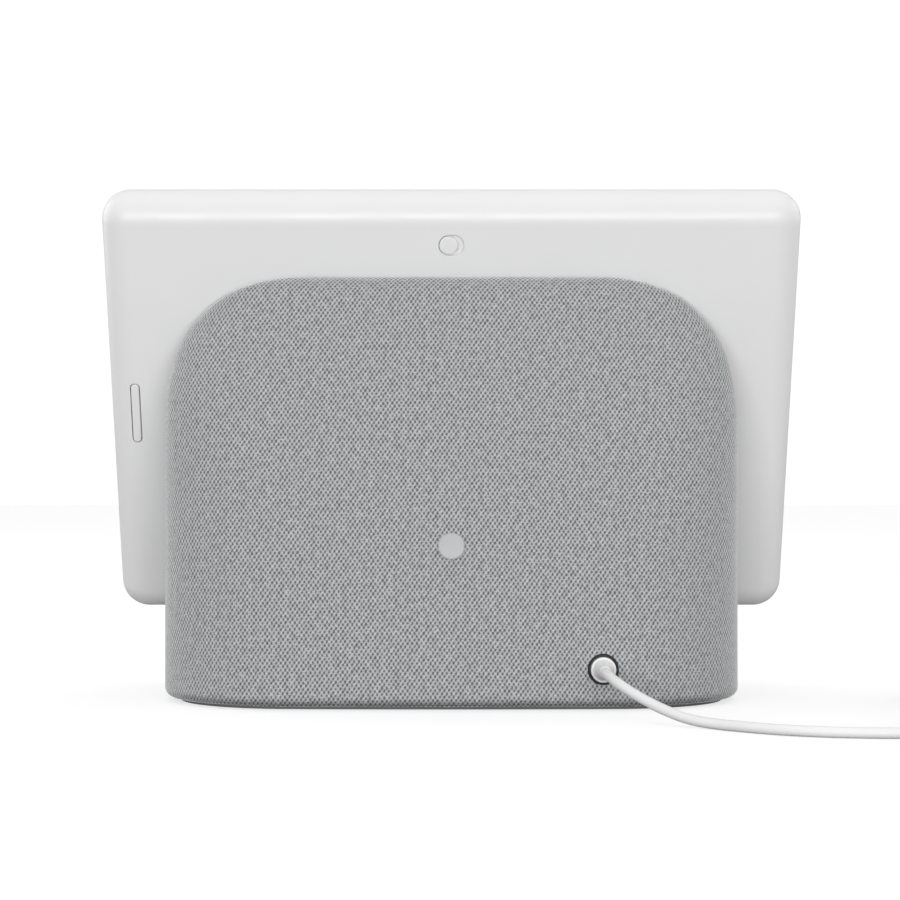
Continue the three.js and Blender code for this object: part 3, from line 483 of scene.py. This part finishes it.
def loft(rings):
    """A solid with flat ends through rings of equally many points, anticlockwise and going up."""
    count = len(rings[0])
    vertices = [point for ring in rings for point in ring]
    faces = []
    for level in range(len(rings) - 1):
        for i in range(count):
            a = level * count + i
            b = level * count + (i + 1) % count
            faces.append((a, b, b + count, a + count))
    faces.append(tuple(reversed(range(count))))
    faces.append(tuple(range((len(rings) - 1) * count, len(rings) * count)))
    return vertices, faces


def shaped_plate(outline_at, low, high, edge, middle=(0, 0), steps=4):
    """A plate from z = low to high with rounded edges; outline_at(inset) is its outline pulled in."""
    levels = [(low + edge * (1 - rise), edge * run) for run, rise in reversed(quarter(steps))]
    levels += [(high - edge * (1 - rise), edge * run) for run, rise in quarter(steps)]
    return loft([[(x + middle[0], y + middle[1], z) for x, y in outline_at(inset)] for z, inset in levels])


def turned(profile, sides=48, middle=(0, 0)):
    """A solid of revolution about +Z from (radius, z) pairs that start and end on the axis."""
    rings = []
    for radius, z in profile[1:-1]:
        ring = []
        for step in range(sides):
            angle = step / sides * 2 * math.pi
            ring.append((middle[0] + radius * math.cos(angle), middle[1] + radius * math.sin(angle), z))
        rings.append(ring)
    return loft(rings)


def drum(radius, low, high):
    """The profile of a plain drum."""
    return [(0, low), (radius, low), (radius, high), (0, high)]


def along_y(x, z):
    """A frame whose +Z runs along the object's +Y, through x and z."""
    return Matrix.Translation((x * MM, 0, z * MM)) @ Matrix.Rotation(-math.pi / 2, 4, "X") @ BASE_FRAME


def mesh_object(name, geometry, placement=BASE_FRAME):
    vertices, faces = geometry
    mesh = bpy.data.meshes.new(name)
    mesh.from_pydata([placement @ Vector(point) for point in vertices], [], faces)
    made = bpy.data.objects.new(name, mesh)
    bpy.context.scene.collection.objects.link(made)
    return made


def apply_modifiers(piece):
    seen = piece.evaluated_get(bpy.context.evaluated_depsgraph_get())
    mesh = bpy.data.meshes.new_from_object(seen)
    piece.modifiers.clear()
    piece.data = mesh


def combine(piece, operation, tools):
    for tool in tools:
        modifier = piece.modifiers.new(operation.lower(), "BOOLEAN")
        modifier.operation = operation
        modifier.solver = "EXACT"
        modifier.object = tool
    apply_modifiers(piece)
    for tool in tools:
        bpy.data.objects.remove(tool)


def cut(piece, *tools):
    combine(piece, "DIFFERENCE", tools)


def join(piece, *tools):
    combine(piece, "UNION", tools)


def smooth(piece, angle=32):
    """Round faces look round and flat ones flat; edges sharper than angle stay crisp."""
    piece.data.shade_smooth()
    piece.data.set_sharp_from_angle(angle=math.radians(angle))
    piece.modifiers.new("face_weights", "WEIGHTED_NORMAL").keep_sharp = True


def place(piece, slot, *nodes, angle=32):
    """Finishes a piece that stands for CAD nodes: shading, finish and the body that it moves with."""
    if piece.type == "MESH":
        smooth(piece, angle)
    piece.data.materials.clear()
    piece.data.materials.append(MATERIALS[slot])
    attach(piece, frame["nodes"][nodes[0]]["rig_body"])
    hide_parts(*nodes)
    return piece


# ---------------------------------------------------------------- head

HEAD_CORNER_STEPS = 16


def head_ring(z, inset):
    radius = max(HEAD_CORNER - inset, 0.3)
    outline = rounded_rectangle(HEAD_WIDTH - 2 * inset, HEAD_HEIGHT - 2 * inset, radius, HEAD_CORNER_STEPS)
    return [(x, y + HEAD_MIDDLE, z) for x, y in outline]


def head_solid():
    """The rear cover as one cup: its outside from the back up to the lip, then its inside down to its floor."""
    levels = [(-HEAD_THICKNESS, REAR_RADIUS + 0.6)]
    levels += [(-LIP_DEPTH - REAR_RADIUS * rise, REAR_RADIUS * run) for run, rise in reversed(quarter(20))]
    levels += [(-LIP_DEPTH * (1 - rise), LIP_INSET * run) for run, rise in quarter(12)[1:]]
    inner = LIP_INSET + (WALL - LIP_INSET - LIP_ROUND)
    for run, rise in reversed(quarter(4)):
        levels.append((-LIP_ROUND * (1 - rise), inner + LIP_ROUND * (1 - run)))
    levels += [(-LIP_DEPTH, WALL), INSIDE_BEND, (REAR_WALL_INSIDE, INSIDE_FLOOR_INSET)]
    return loft([head_ring(z, inset) for z, inset in levels])


def opening(width, height, floor, middle, edge=0.2, fillet=0.25):
    """A tool for a round-ended opening in the head's back: its mouth rounded by edge, its floor by fillet."""
    levels = [(-HEAD_THICKNESS - TOOL_REACH, edge)]
    levels += [(-HEAD_THICKNESS + edge * run, edge * (1 - rise)) for run, rise in quarter(4)]
    levels += [(floor - fillet * (1 - rise), -fillet * run) for run, rise in quarter(5)]
    rings = []
    for z, grow in levels:
        outline = stadium(width + 2 * grow, height + 2 * grow)
        rings.append([(x + middle[0], y + middle[1], z) for x, y in outline])
    return mesh_object("opening", loft(rings), HEAD_FRAME)


def head_box(low, high):
    """A box between two corners in the head's frame."""
    corners = [(low[0], low[1]), (high[0], low[1]), (high[0], high[1]), (low[0], high[1])]
    rings = [[(x, y, z) for x, y in corners] for z in (low[2], high[2])]
    return mesh_object("head_box", loft(rings), HEAD_FRAME)


def build_rear_shell():
    shell = mesh_object("rear_shell", head_solid(), HEAD_FRAME)
    outside = -HEAD_THICKNESS - TOOL_REACH
    recess = opening(RECESS_WIDTH, RECESS_HEIGHT, -HEAD_THICKNESS + RECESS_DEPTH, (0, SWITCH_Y), fillet=0.8)
    slot_height = STEM_HALF + GAP
    slot_width = slot_height + SWITCH_TRAVEL / 2
    stem_slot = head_box(
        (-slot_width, SWITCH_Y - slot_height, outside),
        (slot_width, SWITCH_Y + slot_height, STEM_SLOT_FLOOR))
    rocker_hole = opening(
        ROCKER_WIDTH + 2 * GAP, ROCKER_LENGTH + 2 * GAP, POCKET_FLOOR, (ROCKER_X, HEAD_MIDDLE), edge=0.15)
    cable_slot = head_box(
        (-CABLE_SLOT_HALF, CABLE_SLOT_FROM, outside),
        (CABLE_SLOT_HALF, CABLE_SLOT_TO, CABLE_SLOT_FLOOR))
    pocket = head_box(
        (ROCKER_X - POCKET_HALF_WIDTH, HEAD_MIDDLE - POCKET_HALF_LENGTH, POCKET_TOP),
        (ROCKER_X + POCKET_HALF_WIDTH, HEAD_MIDDLE + POCKET_HALF_LENGTH, POCKET_FLOOR))
    cut(shell, recess, stem_slot, rocker_hole, cable_slot, pocket)
    place(shell, "white_shell", "rear_cover")


def knob_profile():
    """From the middle of the knob's face out over its rounded edge, down to its rim and in underneath."""
    rim = -HEAD_THICKNESS + RECESS_DEPTH - GAP
    face = -HEAD_THICKNESS - KNOB_PROUD
    profile = [(0, rim), (KNOB_RADIUS, rim)]
    profile += [(KNOB_RADIUS - KNOB_EDGE * run, face + KNOB_EDGE * (1 - rise)) for run, rise in quarter(6)]
    shares = (0.7, 0.5, 0.3, 0.1)
    profile += [(KNOB_RADIUS * share, face - KNOB_DOME * (1 - share ** 2)) for share in shares]
    return list(reversed(profile + [(0, face - KNOB_DOME)]))


def build_controls():
    knob = mesh_object("privacy_slider", turned(knob_profile(), 64), HEAD_FRAME)
    overlap = 0.1
    stem_root = -HEAD_THICKNESS + RECESS_DEPTH - GAP - overlap
    join(knob, head_box((-STEM_HALF, -STEM_HALF, stem_root), (STEM_HALF, STEM_HALF, STEM_END)))
    move = HEAD_FRAME @ Matrix.Translation((SWITCH_TRAVEL / 2, SWITCH_Y, 0)) @ HEAD_FRAME.inverted()
    knob.data.transform(move)
    place(knob, "white_shell", "privacy_switch_knob")
    outer = -HEAD_THICKNESS - ROCKER_PROUD
    rocker = mesh_object("volume_bar", shaped_plate(
        lambda inset: stadium(ROCKER_WIDTH - 2 * inset, ROCKER_LENGTH - 2 * inset),
        outer, ROCKER_PIVOT_Z, ROCKER_EDGE, (ROCKER_X, HEAD_MIDDLE), 6,
    ), HEAD_FRAME)
    axle = turned(drum(AXLE_RADIUS, -AXLE_HALF, AXLE_HALF), 20)
    pivot = Matrix.Translation((ROCKER_X, HEAD_MIDDLE, ROCKER_PIVOT_Z))
    across = HEAD_FRAME @ pivot @ Matrix.Rotation(math.pi / 2, 4, "Y")
    join(rocker, mesh_object("axle", axle, across))
    place(rocker, "white_shell", "volume_rocker")


def head_outline(inset):
    outline = rounded_rectangle(HEAD_WIDTH - 2 * inset, HEAD_HEIGHT - 2 * inset, HEAD_CORNER - inset, 20)
    return [(x, y + HEAD_MIDDLE) for x, y in outline]


def screen_outline(margin, corner, inset, steps):
    width = SCREEN_WIDTH + margin - 2 * inset
    height = SCREEN_HEIGHT + margin - 2 * inset
    return rounded_rectangle(width, height, corner - inset, steps)


def build_screen():
    glass_inset = WALL + GAP
    glass = shaped_plate(lambda inset: head_outline(glass_inset + inset), *GLASS_LAYER, 0.25)
    place(mesh_object("cover_pane", glass, HEAD_FRAME), "cover_glass", "front_glass")
    mask = mesh_object("bezel_sheet", shaped_plate(
        lambda inset: head_outline(glass_inset + GAP + inset), *MASK_LAYER, 0.05), HEAD_FRAME)
    window = shaped_plate(
        lambda inset: screen_outline(0, SCREEN_CORNER, inset, 8), *WINDOW_CUT, 0.05, (0, HEAD_MIDDLE))
    eye = turned(drum(EYE_RADIUS, *WINDOW_CUT), 40, (0, CAMERA_Y))
    holes = [mesh_object("window", window, HEAD_FRAME), mesh_object("eye", eye, HEAD_FRAME)]
    cut(mask, *holes)
    place(mask, "bezel_print", "bezel_mask")
    panel = shaped_plate(
        lambda inset: screen_outline(PANEL_MARGIN, PANEL_CORNER, inset, 6),
        *PANEL_LAYER, 0.2, (0, HEAD_MIDDLE))
    place(mesh_object("display_panel", panel, HEAD_FRAME), "screen", "lcd_panel")


# ---------------------------------------------------------------- base form

def head_rear_y(z, offset=0.0):
    """The Y of the head's rear plane, moved back by offset, at height z."""
    depth = HEAD_THICKNESS + offset
    along = (z - HEAD_BOTTOM[2] + depth * math.sin(TILT)) / math.cos(TILT)
    return HEAD_BOTTOM[1] + along * math.sin(TILT) + depth * math.cos(TILT)


def arch_half_width(z):
    drop = max(0.0, BASE_TOP - z) / math.cos(TILT)
    if drop >= ARCH_DROP:
        return BASE_HALF_WIDTH
    rise = 1 - drop / ARCH_DROP
    return ARCH_FLAT_HALF + ARCH_SPAN * (1 - rise ** ARCH_POWER) ** (1 / ARCH_POWER)


def base_rear_y(z):
    height = min(z, BASE_TOP)
    leaning = BASE_REAR_Y - BASE_LEAN * height - BASE_TOP_PULL * (height / BASE_TOP) ** 3
    into = (height - BASE_TOP + TOP_ROUND) / TOP_ROUND
    if into <= 0:
        return leaning
    return leaning - TOP_ROUND * (1 - math.sqrt(max(0.0, 1 - into * into)))


def lower_edge_inset(z):
    above = BASE_BOTTOM + EDGE_RADIUS - z
    if above <= 0:
        return 0.0
    return EDGE_RADIUS * (1 - math.sqrt(1 - min(1.0, above / EDGE_RADIUS) ** 2))


def base_ring(z, inset, end_steps=26, flat_steps=12):
    """One closed level outline of the base, from the middle of its front round past +X to the back."""
    form_z = z + inset * max(0.0, z / BASE_TOP)
    shrink = inset + lower_edge_inset(z)
    centre_y = max(BASE_MIDDLE_Y, head_rear_y(min(form_z, BASE_TOP)) + 0.5)
    rear_depth = max(0.6, base_rear_y(form_z) - centre_y - shrink)
    front_depth = BASE_FRONT_DEPTH - shrink
    end_length = min(BASE_END_LENGTH, 1.15 * rear_depth)
    flat_half = arch_half_width(form_z) - shrink - end_length

    def point(x, share, depth):
        bow = BASE_BOW * (min(x, flat_half) / BASE_FLAT_HALF) ** 2
        return x, centre_y + math.copysign((abs(depth) - bow) * share, depth), z

    half = [point(flat_half * step / flat_steps, 1, -front_depth) for step in range(flat_steps)]
    for step in range(-end_steps, end_steps + 1):
        angle = step / end_steps * math.pi / 2
        depth = -front_depth if step < 0 else rear_depth
        half.append(point(flat_half + end_length * math.cos(angle), abs(math.sin(angle)), depth))
    half += [point(flat_half * step / flat_steps, 1, rear_depth) for step in reversed(range(flat_steps))]
    return half + [(-x, y, z) for x, y, z in reversed(half[1:-1])]


def sleeve_heights(bottom, top):
    """Levels that crowd where the lower edge rounds and where the arch flattens out at the top."""
    edge = [bottom + EDGE_RADIUS * (1 - math.cos(step / 6 * math.pi / 2)) for step in range(6)]
    arch_foot = BASE_TOP - ARCH_DROP * math.cos(TILT)
    first = BASE_BOTTOM + EDGE_RADIUS
    straight = [first + (arch_foot - first) * step / 14 for step in range(14)]
    shares = [math.sin(step / 56 * math.pi / 2) ** (2 / ARCH_POWER) for step in range(57)]
    arch = [arch_foot + (BASE_TOP - arch_foot) * share for share in shares]
    return [z for z in edge + straight + arch if z < top - 0.01] + [top]


def wrapped(heights, inset):
    """The base's form and its cloth map in millimetres: round it from the middle of its back, and up it."""
    rings = [base_ring(z, inset) for z in heights]
    vertices, faces = loft(rings)
    count = len(rings[0])
    rounds = []
    for ring in rings:
        steps = [math.dist(ring[i], ring[(i + 1) % count]) for i in range(count)]
        length = [sum(steps[:i]) for i in range(count + 1)]
        rounds.append([value - length[-1] / 2 for value in length])
    back = count // 2
    climbs = [0.0]
    for lower, upper in zip(rings, rings[1:]):
        climbs.append(climbs[-1] + math.dist(lower[back], upper[back]))
    corners = []
    for level in range(len(rings) - 1):
        for i in range(count):
            for up, along in ((0, 0), (0, 1), (1, 1), (1, 0)):
                corners.append((rounds[level + up][i + along], climbs[level + up]))
    for level in (0, len(rings) - 1):
        flat = [(x, y + climbs[level]) for x, y, z in rings[level]]
        corners += reversed(flat) if level == 0 else flat
    return (vertices, faces), corners


def wrapped_object(name, heights, inset):
    geometry, corners = wrapped(heights, inset)
    made = mesh_object(name, geometry)
    layer = made.data.uv_layers.new(name="cloth")
    for loop, corner in zip(layer.data, corners):
        loop.uv = corner
    return made


def build_sleeve():
    sleeve = wrapped_object("knit_sleeve", sleeve_heights(BASE_BOTTOM, BASE_TOP), 0)
    inner_heights = [0.0, 1.0] + sleeve_heights(BASE_BOTTOM + FABRIC_THICKNESS, BASE_TOP - FABRIC_THICKNESS)
    inside = wrapped_object("inside", inner_heights, FABRIC_THICKNESS)
    reach = 400
    before_head = head_box((-reach, -reach, -HEAD_THICKNESS - HEAD_CLEARANCE), (reach, reach, reach))
    hole = mesh_object("hole", turned(drum(RING_RADIUS + GAP, *JACK_HOLE), 64), along_y(JACK_X, JACK_Z))
    cut(sleeve, inside, before_head, hole)
    place(sleeve, "knit_fabric", "fabric_sleeve", angle=50)


def footprint(inset):
    ring = base_ring(BASE_BOTTOM + EDGE_RADIUS, inset)
    return [(x, y) for x, y, z in ring]


def build_underside():
    plate = shaped_plate(lambda inset: footprint(PLATE_INSET + inset), *PLATE_LAYER, 0.3)
    place(mesh_object("bottom_plate", plate), "grey_plastic", "base_plate")
    foot = shaped_plate(lambda inset: footprint(FOOT_INSET + inset), *FOOT_LAYER, 0.5)
    place(mesh_object("foot_pad", foot), "grey_rubber", "rubber_foot")


def build_badge():
    """A plain domed disc set on the fabric."""
    rim = [(BADGE_RADIUS - BADGE_EDGE * run, BADGE_SIDE + BADGE_RIM_RISE * rise) for run, rise in quarter(6)]
    face = BADGE_SIDE + BADGE_RIM_RISE
    shares = (0.8, 0.6, 0.4, 0.2, 0.05)
    dome = [(BADGE_RADIUS * share, face + BADGE_DOME * (1 - share ** 2)) for share in shares]
    profile = [(0, BADGE_FOOT), (BADGE_RADIUS, BADGE_FOOT)] + rim + dome + [(0, face + BADGE_DOME)]
    lean = Matrix.Rotation(-math.pi / 2 + math.atan(BASE_LEAN + 0.02), 4, "X")
    where = Matrix.Translation((0, base_rear_y(BADGE_Z) * MM, BADGE_Z * MM)) @ lean @ BASE_FRAME
    place(mesh_object("back_disc", turned(profile, 72), where), "badge_grey", "rear_badge")


# ---------------------------------------------------------------- power lead

LEAD_ROUTE = [
    (JACK_X, PLUG_FACE_Y + GAP, JACK_Z), (JACK_X, 54.5, JACK_Z),
    (JACK_X, 58.8, JACK_Z), (JACK_X, 60.5, 13.96), (-53.3, 65.5, 13), (-56, 71.5, 11.2),
    (-59.6, 77, 9.1), (-63.6, 82.3, 7.1), (-69, 88.8, 4.8), (-76.5, 96.5, 2.6), (-85, 104, CORD_Z),
    (-91, 109.8, CORD_Z), (-96.8, 114.6, CORD_Z), (-102.6, 118.6, CORD_Z), (-108.5, 121.6, CORD_Z),
    (-114.3, 123.9, CORD_Z), (-120.4, 125.5, CORD_Z), (-127, 126.7, CORD_Z), (-137, 127.4, CORD_Z),
    (-148, 127.5, CORD_Z), (-163, 127.5, CORD_Z),
]
TAIL_ROUTE = [
    (-211.4, 92, 2.5), (-210.6, 84, 2), (-207.2, 76.5, 2), (-201.5, 70.5, 3.2), (-196, 66.3, 5.5),
    (-192.8, 63.6, 7.3), (ADAPTER_X, 61, RELIEF_Z), (ADAPTER_X, 58.3, RELIEF_Z), (ADAPTER_X, 45.4, RELIEF_Z),
]
LOWER_Z = 2.15
UPPER_Z = 5.15
HUMP = 0.5
LOWER_TURNS = 5
UPPER_TURNS = 4
POINTS_PER_TURN = 18
CROSSING = 1 / 6  # the share of each turn in which it steps to the next
TIE_WIDTH = 8
TIE_LOW = 0.35
TIE_CLEARANCE = 0.15
TIE_ANGLE = -60


def ease(share):
    share = min(1.0, max(0.0, share))
    return share * share * (3 - 2 * share)


def on_coil(turns, radius, z):
    """A point after so many turns, anticlockwise from the side that the lead comes in on."""
    angle = (0.25 + turns) * 2 * math.pi
    return COIL_X + radius * math.cos(angle), COIL_Y + radius * math.sin(angle), z


def coil_points():
    """Five turns going inwards on the table, four going outwards on top, then out and down to the table."""
    inner = COIL_OUTER_TURN - (LOWER_TURNS - 1) * TURN_PITCH
    points = []
    for step in range(LOWER_TURNS * POINTS_PER_TURN):
        turn, share = divmod(step / POINTS_PER_TURN, 1)
        crossing = ease((share - 1 + CROSSING) / CROSSING)
        last = turn == LOWER_TURNS - 1
        radius = COIL_OUTER_TURN - turn * TURN_PITCH
        radius += crossing * (TURN_PITCH / 2 if last else -TURN_PITCH)
        climb = ease((share - 0.6) / 0.4) if last else 0
        points.append(on_coil(turn + share, radius, LOWER_Z + climb * (UPPER_Z - LOWER_Z)))
    for step in range(UPPER_TURNS * POINTS_PER_TURN):
        turn, share = divmod(step / POINTS_PER_TURN, 1)
        crossing = ease((share - 1 + CROSSING) / CROSSING)
        last = turn == UPPER_TURNS - 1
        radius = inner + (turn + 0.5) * TURN_PITCH + (0 if last else crossing * TURN_PITCH)
        hump = 4 * HUMP * crossing * (1 - crossing)
        points.append(on_coil(turn + share, radius, UPPER_Z + hump))
    radius = inner + (UPPER_TURNS - 0.5) * TURN_PITCH
    for step, (out, z) in enumerate(((0, 5.2), (0.6, 5.5), (1.5, 5.7), (2.7, 5.5), (4.0, 4.6))):
        points.append(on_coil(step / POINTS_PER_TURN, radius + out, z))
    return points


def build_cord():
    route = LEAD_ROUTE + coil_points() + TAIL_ROUTE
    data = bpy.data.curves.new("power_cord", "CURVE")
    data.dimensions = "3D"
    data.resolution_u = 6
    data.bevel_depth = CORD_RADIUS * MM
    data.bevel_resolution = 6
    data.use_fill_caps = True
    spline = data.splines.new("BEZIER")
    spline.bezier_points.add(len(route) - 1)
    for handle, point in zip(spline.bezier_points, route):
        handle.co = Vector(point) * MM
        handle.handle_left_type = "AUTO"
        handle.handle_right_type = "AUTO"
    cord = bpy.data.objects.new("power_cord", data)
    bpy.context.scene.collection.objects.link(cord)
    return place(cord, "white_cord", "cord_lead", "cord_coil", "cord_tail")


def build_plug():
    """The round plug that nearly fills its dark ring, and the tapered strain relief on it."""
    frame_y = along_y(JACK_X, JACK_Z)
    edge = 0.6
    rim = [(PLUG_RADIUS - edge * run, PLUG_FACE_Y - edge + edge * rise) for run, rise in quarter(8)]
    nose = 0.3
    profile = [(0, PLUG_HEAD_END_Y), (PLUG_RADIUS - nose, PLUG_HEAD_END_Y)]
    profile += [(PLUG_RADIUS, PLUG_HEAD_END_Y + nose)]
    profile += rim + [(1, PLUG_FACE_Y), (0, PLUG_FACE_Y)]
    plug = place(mesh_object("plug_body", turned(profile, 64), frame_y), "white_cord", "plug_head")
    root = PLUG_FACE_Y + 0.05
    profile = [(0, root), (BOOT_ROOT_RADIUS, root)]
    for step in range(1, BOOT_STEPS + 1):
        share = step / BOOT_STEPS
        flare = (BOOT_ROOT_RADIUS - BOOT_END_RADIUS) * (1 - share) ** 2.2
        profile.append((BOOT_END_RADIUS + flare, root + share * BOOT_LENGTH))
    profile += [(1.8, root + BOOT_LENGTH + 0.2), (0, root + BOOT_LENGTH + 0.2)]
    boot = place(mesh_object("plug_boot", turned(profile, 40), frame_y), "white_cord", "plug_strain_relief")
    inner = RING_RADIUS - RING_WALL
    start = JACK_FACE_Y + GAP
    bevel = RING_FACE_Y - RING_BEVEL
    outline = [(inner, start), (RING_RADIUS, start), (RING_RADIUS, bevel)]
    outline += [(RING_RADIUS - RING_BEVEL, RING_FACE_Y), (inner + RING_BEVEL, RING_FACE_Y), (inner, bevel)]
    place(mesh_object("inlet_ring", hoop(outline, 64), frame_y), "dark_plastic", "jack_ring")
    return [plug, boot]


def hoop(outline, sides):
    """A ring about +Z with the closed section outline of (radius, z) pairs."""
    vertices = []
    faces = []
    count = len(outline)
    for side in range(sides):
        angle = side / sides * 2 * math.pi
        vertices += [(radius * math.cos(angle), radius * math.sin(angle), z) for radius, z in outline]
        for i in range(count):
            after = (side + 1) % sides
            faces.append((side * count + i, after * count + i, after * count + (i + 1) % count,
                          side * count + (i + 1) % count))
    return vertices, faces


def build_tie():
    """A thin hook-and-loop band round the coil, on the side away from both ends."""
    inner = COIL_OUTER_TURN - (LOWER_TURNS - 1) * TURN_PITCH - CORD_RADIUS - TIE_CLEARANCE
    outer = COIL_OUTER_TURN + CORD_RADIUS + TIE_CLEARANCE
    top = UPPER_Z + CORD_RADIUS + 0.1
    low = TIE_LOW
    full = TIE_WIDTH / 2
    rings = []
    for depth, half in ((0, full - 0.1), (0.08, full), (0.24, full), (0.32, full - 0.1)):
        section = rounded_rectangle(outer - inner + 2 * depth, top - low + 2 * depth, 1.6 + depth, 8)
        rings.append([((inner + outer) / 2 + x, half, (top + low) / 2 + z) for x, z in section])
    back = [[(x, -y, z) for x, y, z in ring] for ring in reversed(rings)]
    vertices = [point for ring in rings + back for point in ring]
    count = len(rings[0])
    levels = len(rings) * 2
    faces = []
    for level in range(levels):
        for i in range(count):
            a = level * count
            b = (level + 1) % levels * count
            faces.append((a + i, a + (i + 1) % count, b + (i + 1) % count, b + i))
    centre = Matrix.Translation((COIL_X * MM, COIL_Y * MM, 0))
    turn = centre @ Matrix.Rotation(math.radians(TIE_ANGLE), 4, "Z") @ BASE_FRAME
    tie = mesh_object("coil_tie", (vertices, faces), turn)
    smooth(tie, 40)
    tie.data.materials.append(MATERIALS["black_rubber"])
    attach(tie, "power_lead")
    return tie


def build_adapter():
    """The wall adapter: a rounded block with a parting line, a strain relief and two blades."""
    width, length, height = ADAPTER_SIZE
    centre = (ADAPTER_X, ADAPTER_Y)

    def block_outline(inset):
        return rounded_rectangle(width - 2 * inset, length - 2 * inset, ADAPTER_CORNER - inset, 12)

    edge = ADAPTER_EDGE
    levels = [(edge * (1 - rise), edge * run) for run, rise in reversed(quarter(10))]
    seam = height * SEAM_SHARE
    levels += [(seam - SEAM_HALF, 0), (seam - SEAM_DEPTH, SEAM_DEPTH)]
    levels += [(seam + SEAM_DEPTH, SEAM_DEPTH), (seam + SEAM_HALF, 0)]
    levels += [(height - edge * (1 - rise), edge * run) for run, rise in quarter(10)]
    rings = [[(x + centre[0], y + centre[1], z) for x, y in block_outline(inset)] for z, inset in levels]
    body = place(mesh_object("adapter_case", loft(rings)), "white_adapter", "adapter_body")
    frame_y = along_y(ADAPTER_X, RELIEF_Z)
    start = ADAPTER_Y + length / 2 + 0.1
    profile = [(0, start), (3.6, start)]
    for step in range(1, RELIEF_STEPS + 1):
        share = step / RELIEF_STEPS
        ridge = RELIEF_RIDGE if step % 2 else 0
        radius = 2.0 + 1.5 * (1 - share) ** 1.5 - ridge * (1 - share)
        profile.append((radius, start + share * RELIEF_LENGTH))
    end = start + RELIEF_LENGTH + 0.1
    profile += [(1.8, end), (0, end)]
    relief = mesh_object("adapter_relief", turned(profile, 36), frame_y)
    place(relief, "white_adapter", "adapter_strain_relief")
    return [body, relief] + [build_prong(index, side) for index, side in ((1, -1), (2, 1))]


def build_prong(index, side):
    """A flat blade with a rounded tip and the usual hole near it."""
    name = "adapter_prong_" + str(index)
    low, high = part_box(name)
    low, high = low / MM, high / MM
    middle = (low + high) / 2
    tall = high.z - low.z
    long = high.y - low.y
    turn = Matrix.Translation(middle * MM) @ Matrix.Rotation(math.pi / 2, 4, "Y") @ BASE_FRAME
    half = (high.x - low.x) / 2
    blade = mesh_object("blade_" + str(index), shaped_plate(
        lambda inset: rounded_rectangle(tall - 2 * inset, long - 2 * inset, PRONG_CORNER - inset, 8),
        -half, half, 0.25), turn)
    hole = turned(drum(PRONG_HOLE_RADIUS, -2, 2), 32, (0, -long / 2 + PRONG_HOLE_FROM_TIP))
    cut(blade, mesh_object("hole", hole, turn))
    return place(blade, "brass", name)


# ---------------------------------------------------------------- room and light

FLOOR_GLOW = 0.71
TENT_LOW = 0.42
TENT_RISE = 0.75
TENT_SEEN = 1.05  # how bright the tent looks straight to the camera


def build_floor():
    """A pale sheet that the camera sees glowing a little, as a lit sweep looks, so its shadows stay faint."""
    size = 3.0
    mesh = bpy.data.meshes.new("floor")
    corners = [(-size, -size, 0), (size, -size, 0), (size, size, 0), (-size, size, 0)]
    mesh.from_pydata(corners, [], [(0, 1, 2, 3)])
    floor = bpy.data.objects.new("floor", mesh)
    bpy.context.scene.collection.objects.link(floor)
    material, tree, shader = new_material("floor_face", Roughness=1.0, Specular_IOR_Level=0.0)
    paper = noise(tree, object_place(tree), 12, 2).outputs[0]
    tree.links.new(blend_colours(tree, paper, colour(0.32, 0.32, 0.32), colour(0.34, 0.34, 0.34)),
                   shader.inputs["Base Color"])
    shader.inputs["Emission Color"].default_value = colour(1, 1, 1)
    seen = node(tree, "ShaderNodeLightPath").outputs["Is Camera Ray"]
    tree.links.new(calc(tree, "MULTIPLY", seen, FLOOR_GLOW), shader.inputs["Emission Strength"])
    floor.data.materials.append(material)


def add_softbox(name, location, size, power):
    """A large soft light that faces the display."""
    data = bpy.data.lights.new(name, "AREA")
    data.shape = "RECTANGLE"
    data.size, data.size_y = size
    data.energy = power
    light = bpy.data.objects.new(name, data)
    light.location = location
    light.rotation_euler = (Vector((0, 0, 0.08)) - light.location).to_track_quat("-Z", "Y").to_euler()
    bpy.context.scene.collection.objects.link(light)


def build_light():
    """A white tent that is brighter above, with a low softbox behind the camera and one beyond each side."""
    world = bpy.data.worlds.new("tent")
    bpy.context.scene.world = world
    world.use_nodes = True
    tree = world.node_tree
    ray = node(tree, "ShaderNodeTexCoord").outputs["Generated"]
    height = node(tree, "ShaderNodeSeparateXYZ", {0: ray}).outputs["Z"]
    light = calc(tree, "MULTIPLY_ADD", calc(tree, "MULTIPLY", height, height), TENT_RISE, TENT_LOW)
    seen = node(tree, "ShaderNodeLightPath").outputs["Is Camera Ray"]
    strength = calc(tree, "MULTIPLY_ADD", seen, calc(tree, "SUBTRACT", TENT_SEEN, light), light)
    background = tree.nodes["Background"]
    background.inputs["Color"].default_value = colour(1, 1, 1)
    tree.links.new(strength, background.inputs["Strength"])
    add_softbox("softbox_back", (0, 1.6, 0.14), (1.6, 0.26), 16.5)
    add_softbox("softbox_left", (1.34, -0.6, 0.42), (1.1, 1.3), 9.5)
    add_softbox("softbox_right", (-1.34, -0.6, 0.42), (1.1, 1.3), 6)
    bpy.context.scene.view_settings.view_transform = "Standard"


# ---------------------------------------------------------------- assembly

add_camera()
MATERIALS = make_materials()
cord = build_cord()
on_cord = build_plug() + [frame["nodes"]["plug_barrel"], build_tie()] + build_adapter()
build_rear_shell()
build_controls()
build_screen()
build_sleeve()
build_underside()
build_badge()
for row in frame["record"]["subparts"]:
    carried = frame["nodes"][row["node"]]
    if not carried.hide_render:
        carried.material_slots[0].material = MATERIALS[row["material_slot"]]
build_floor()
build_light()
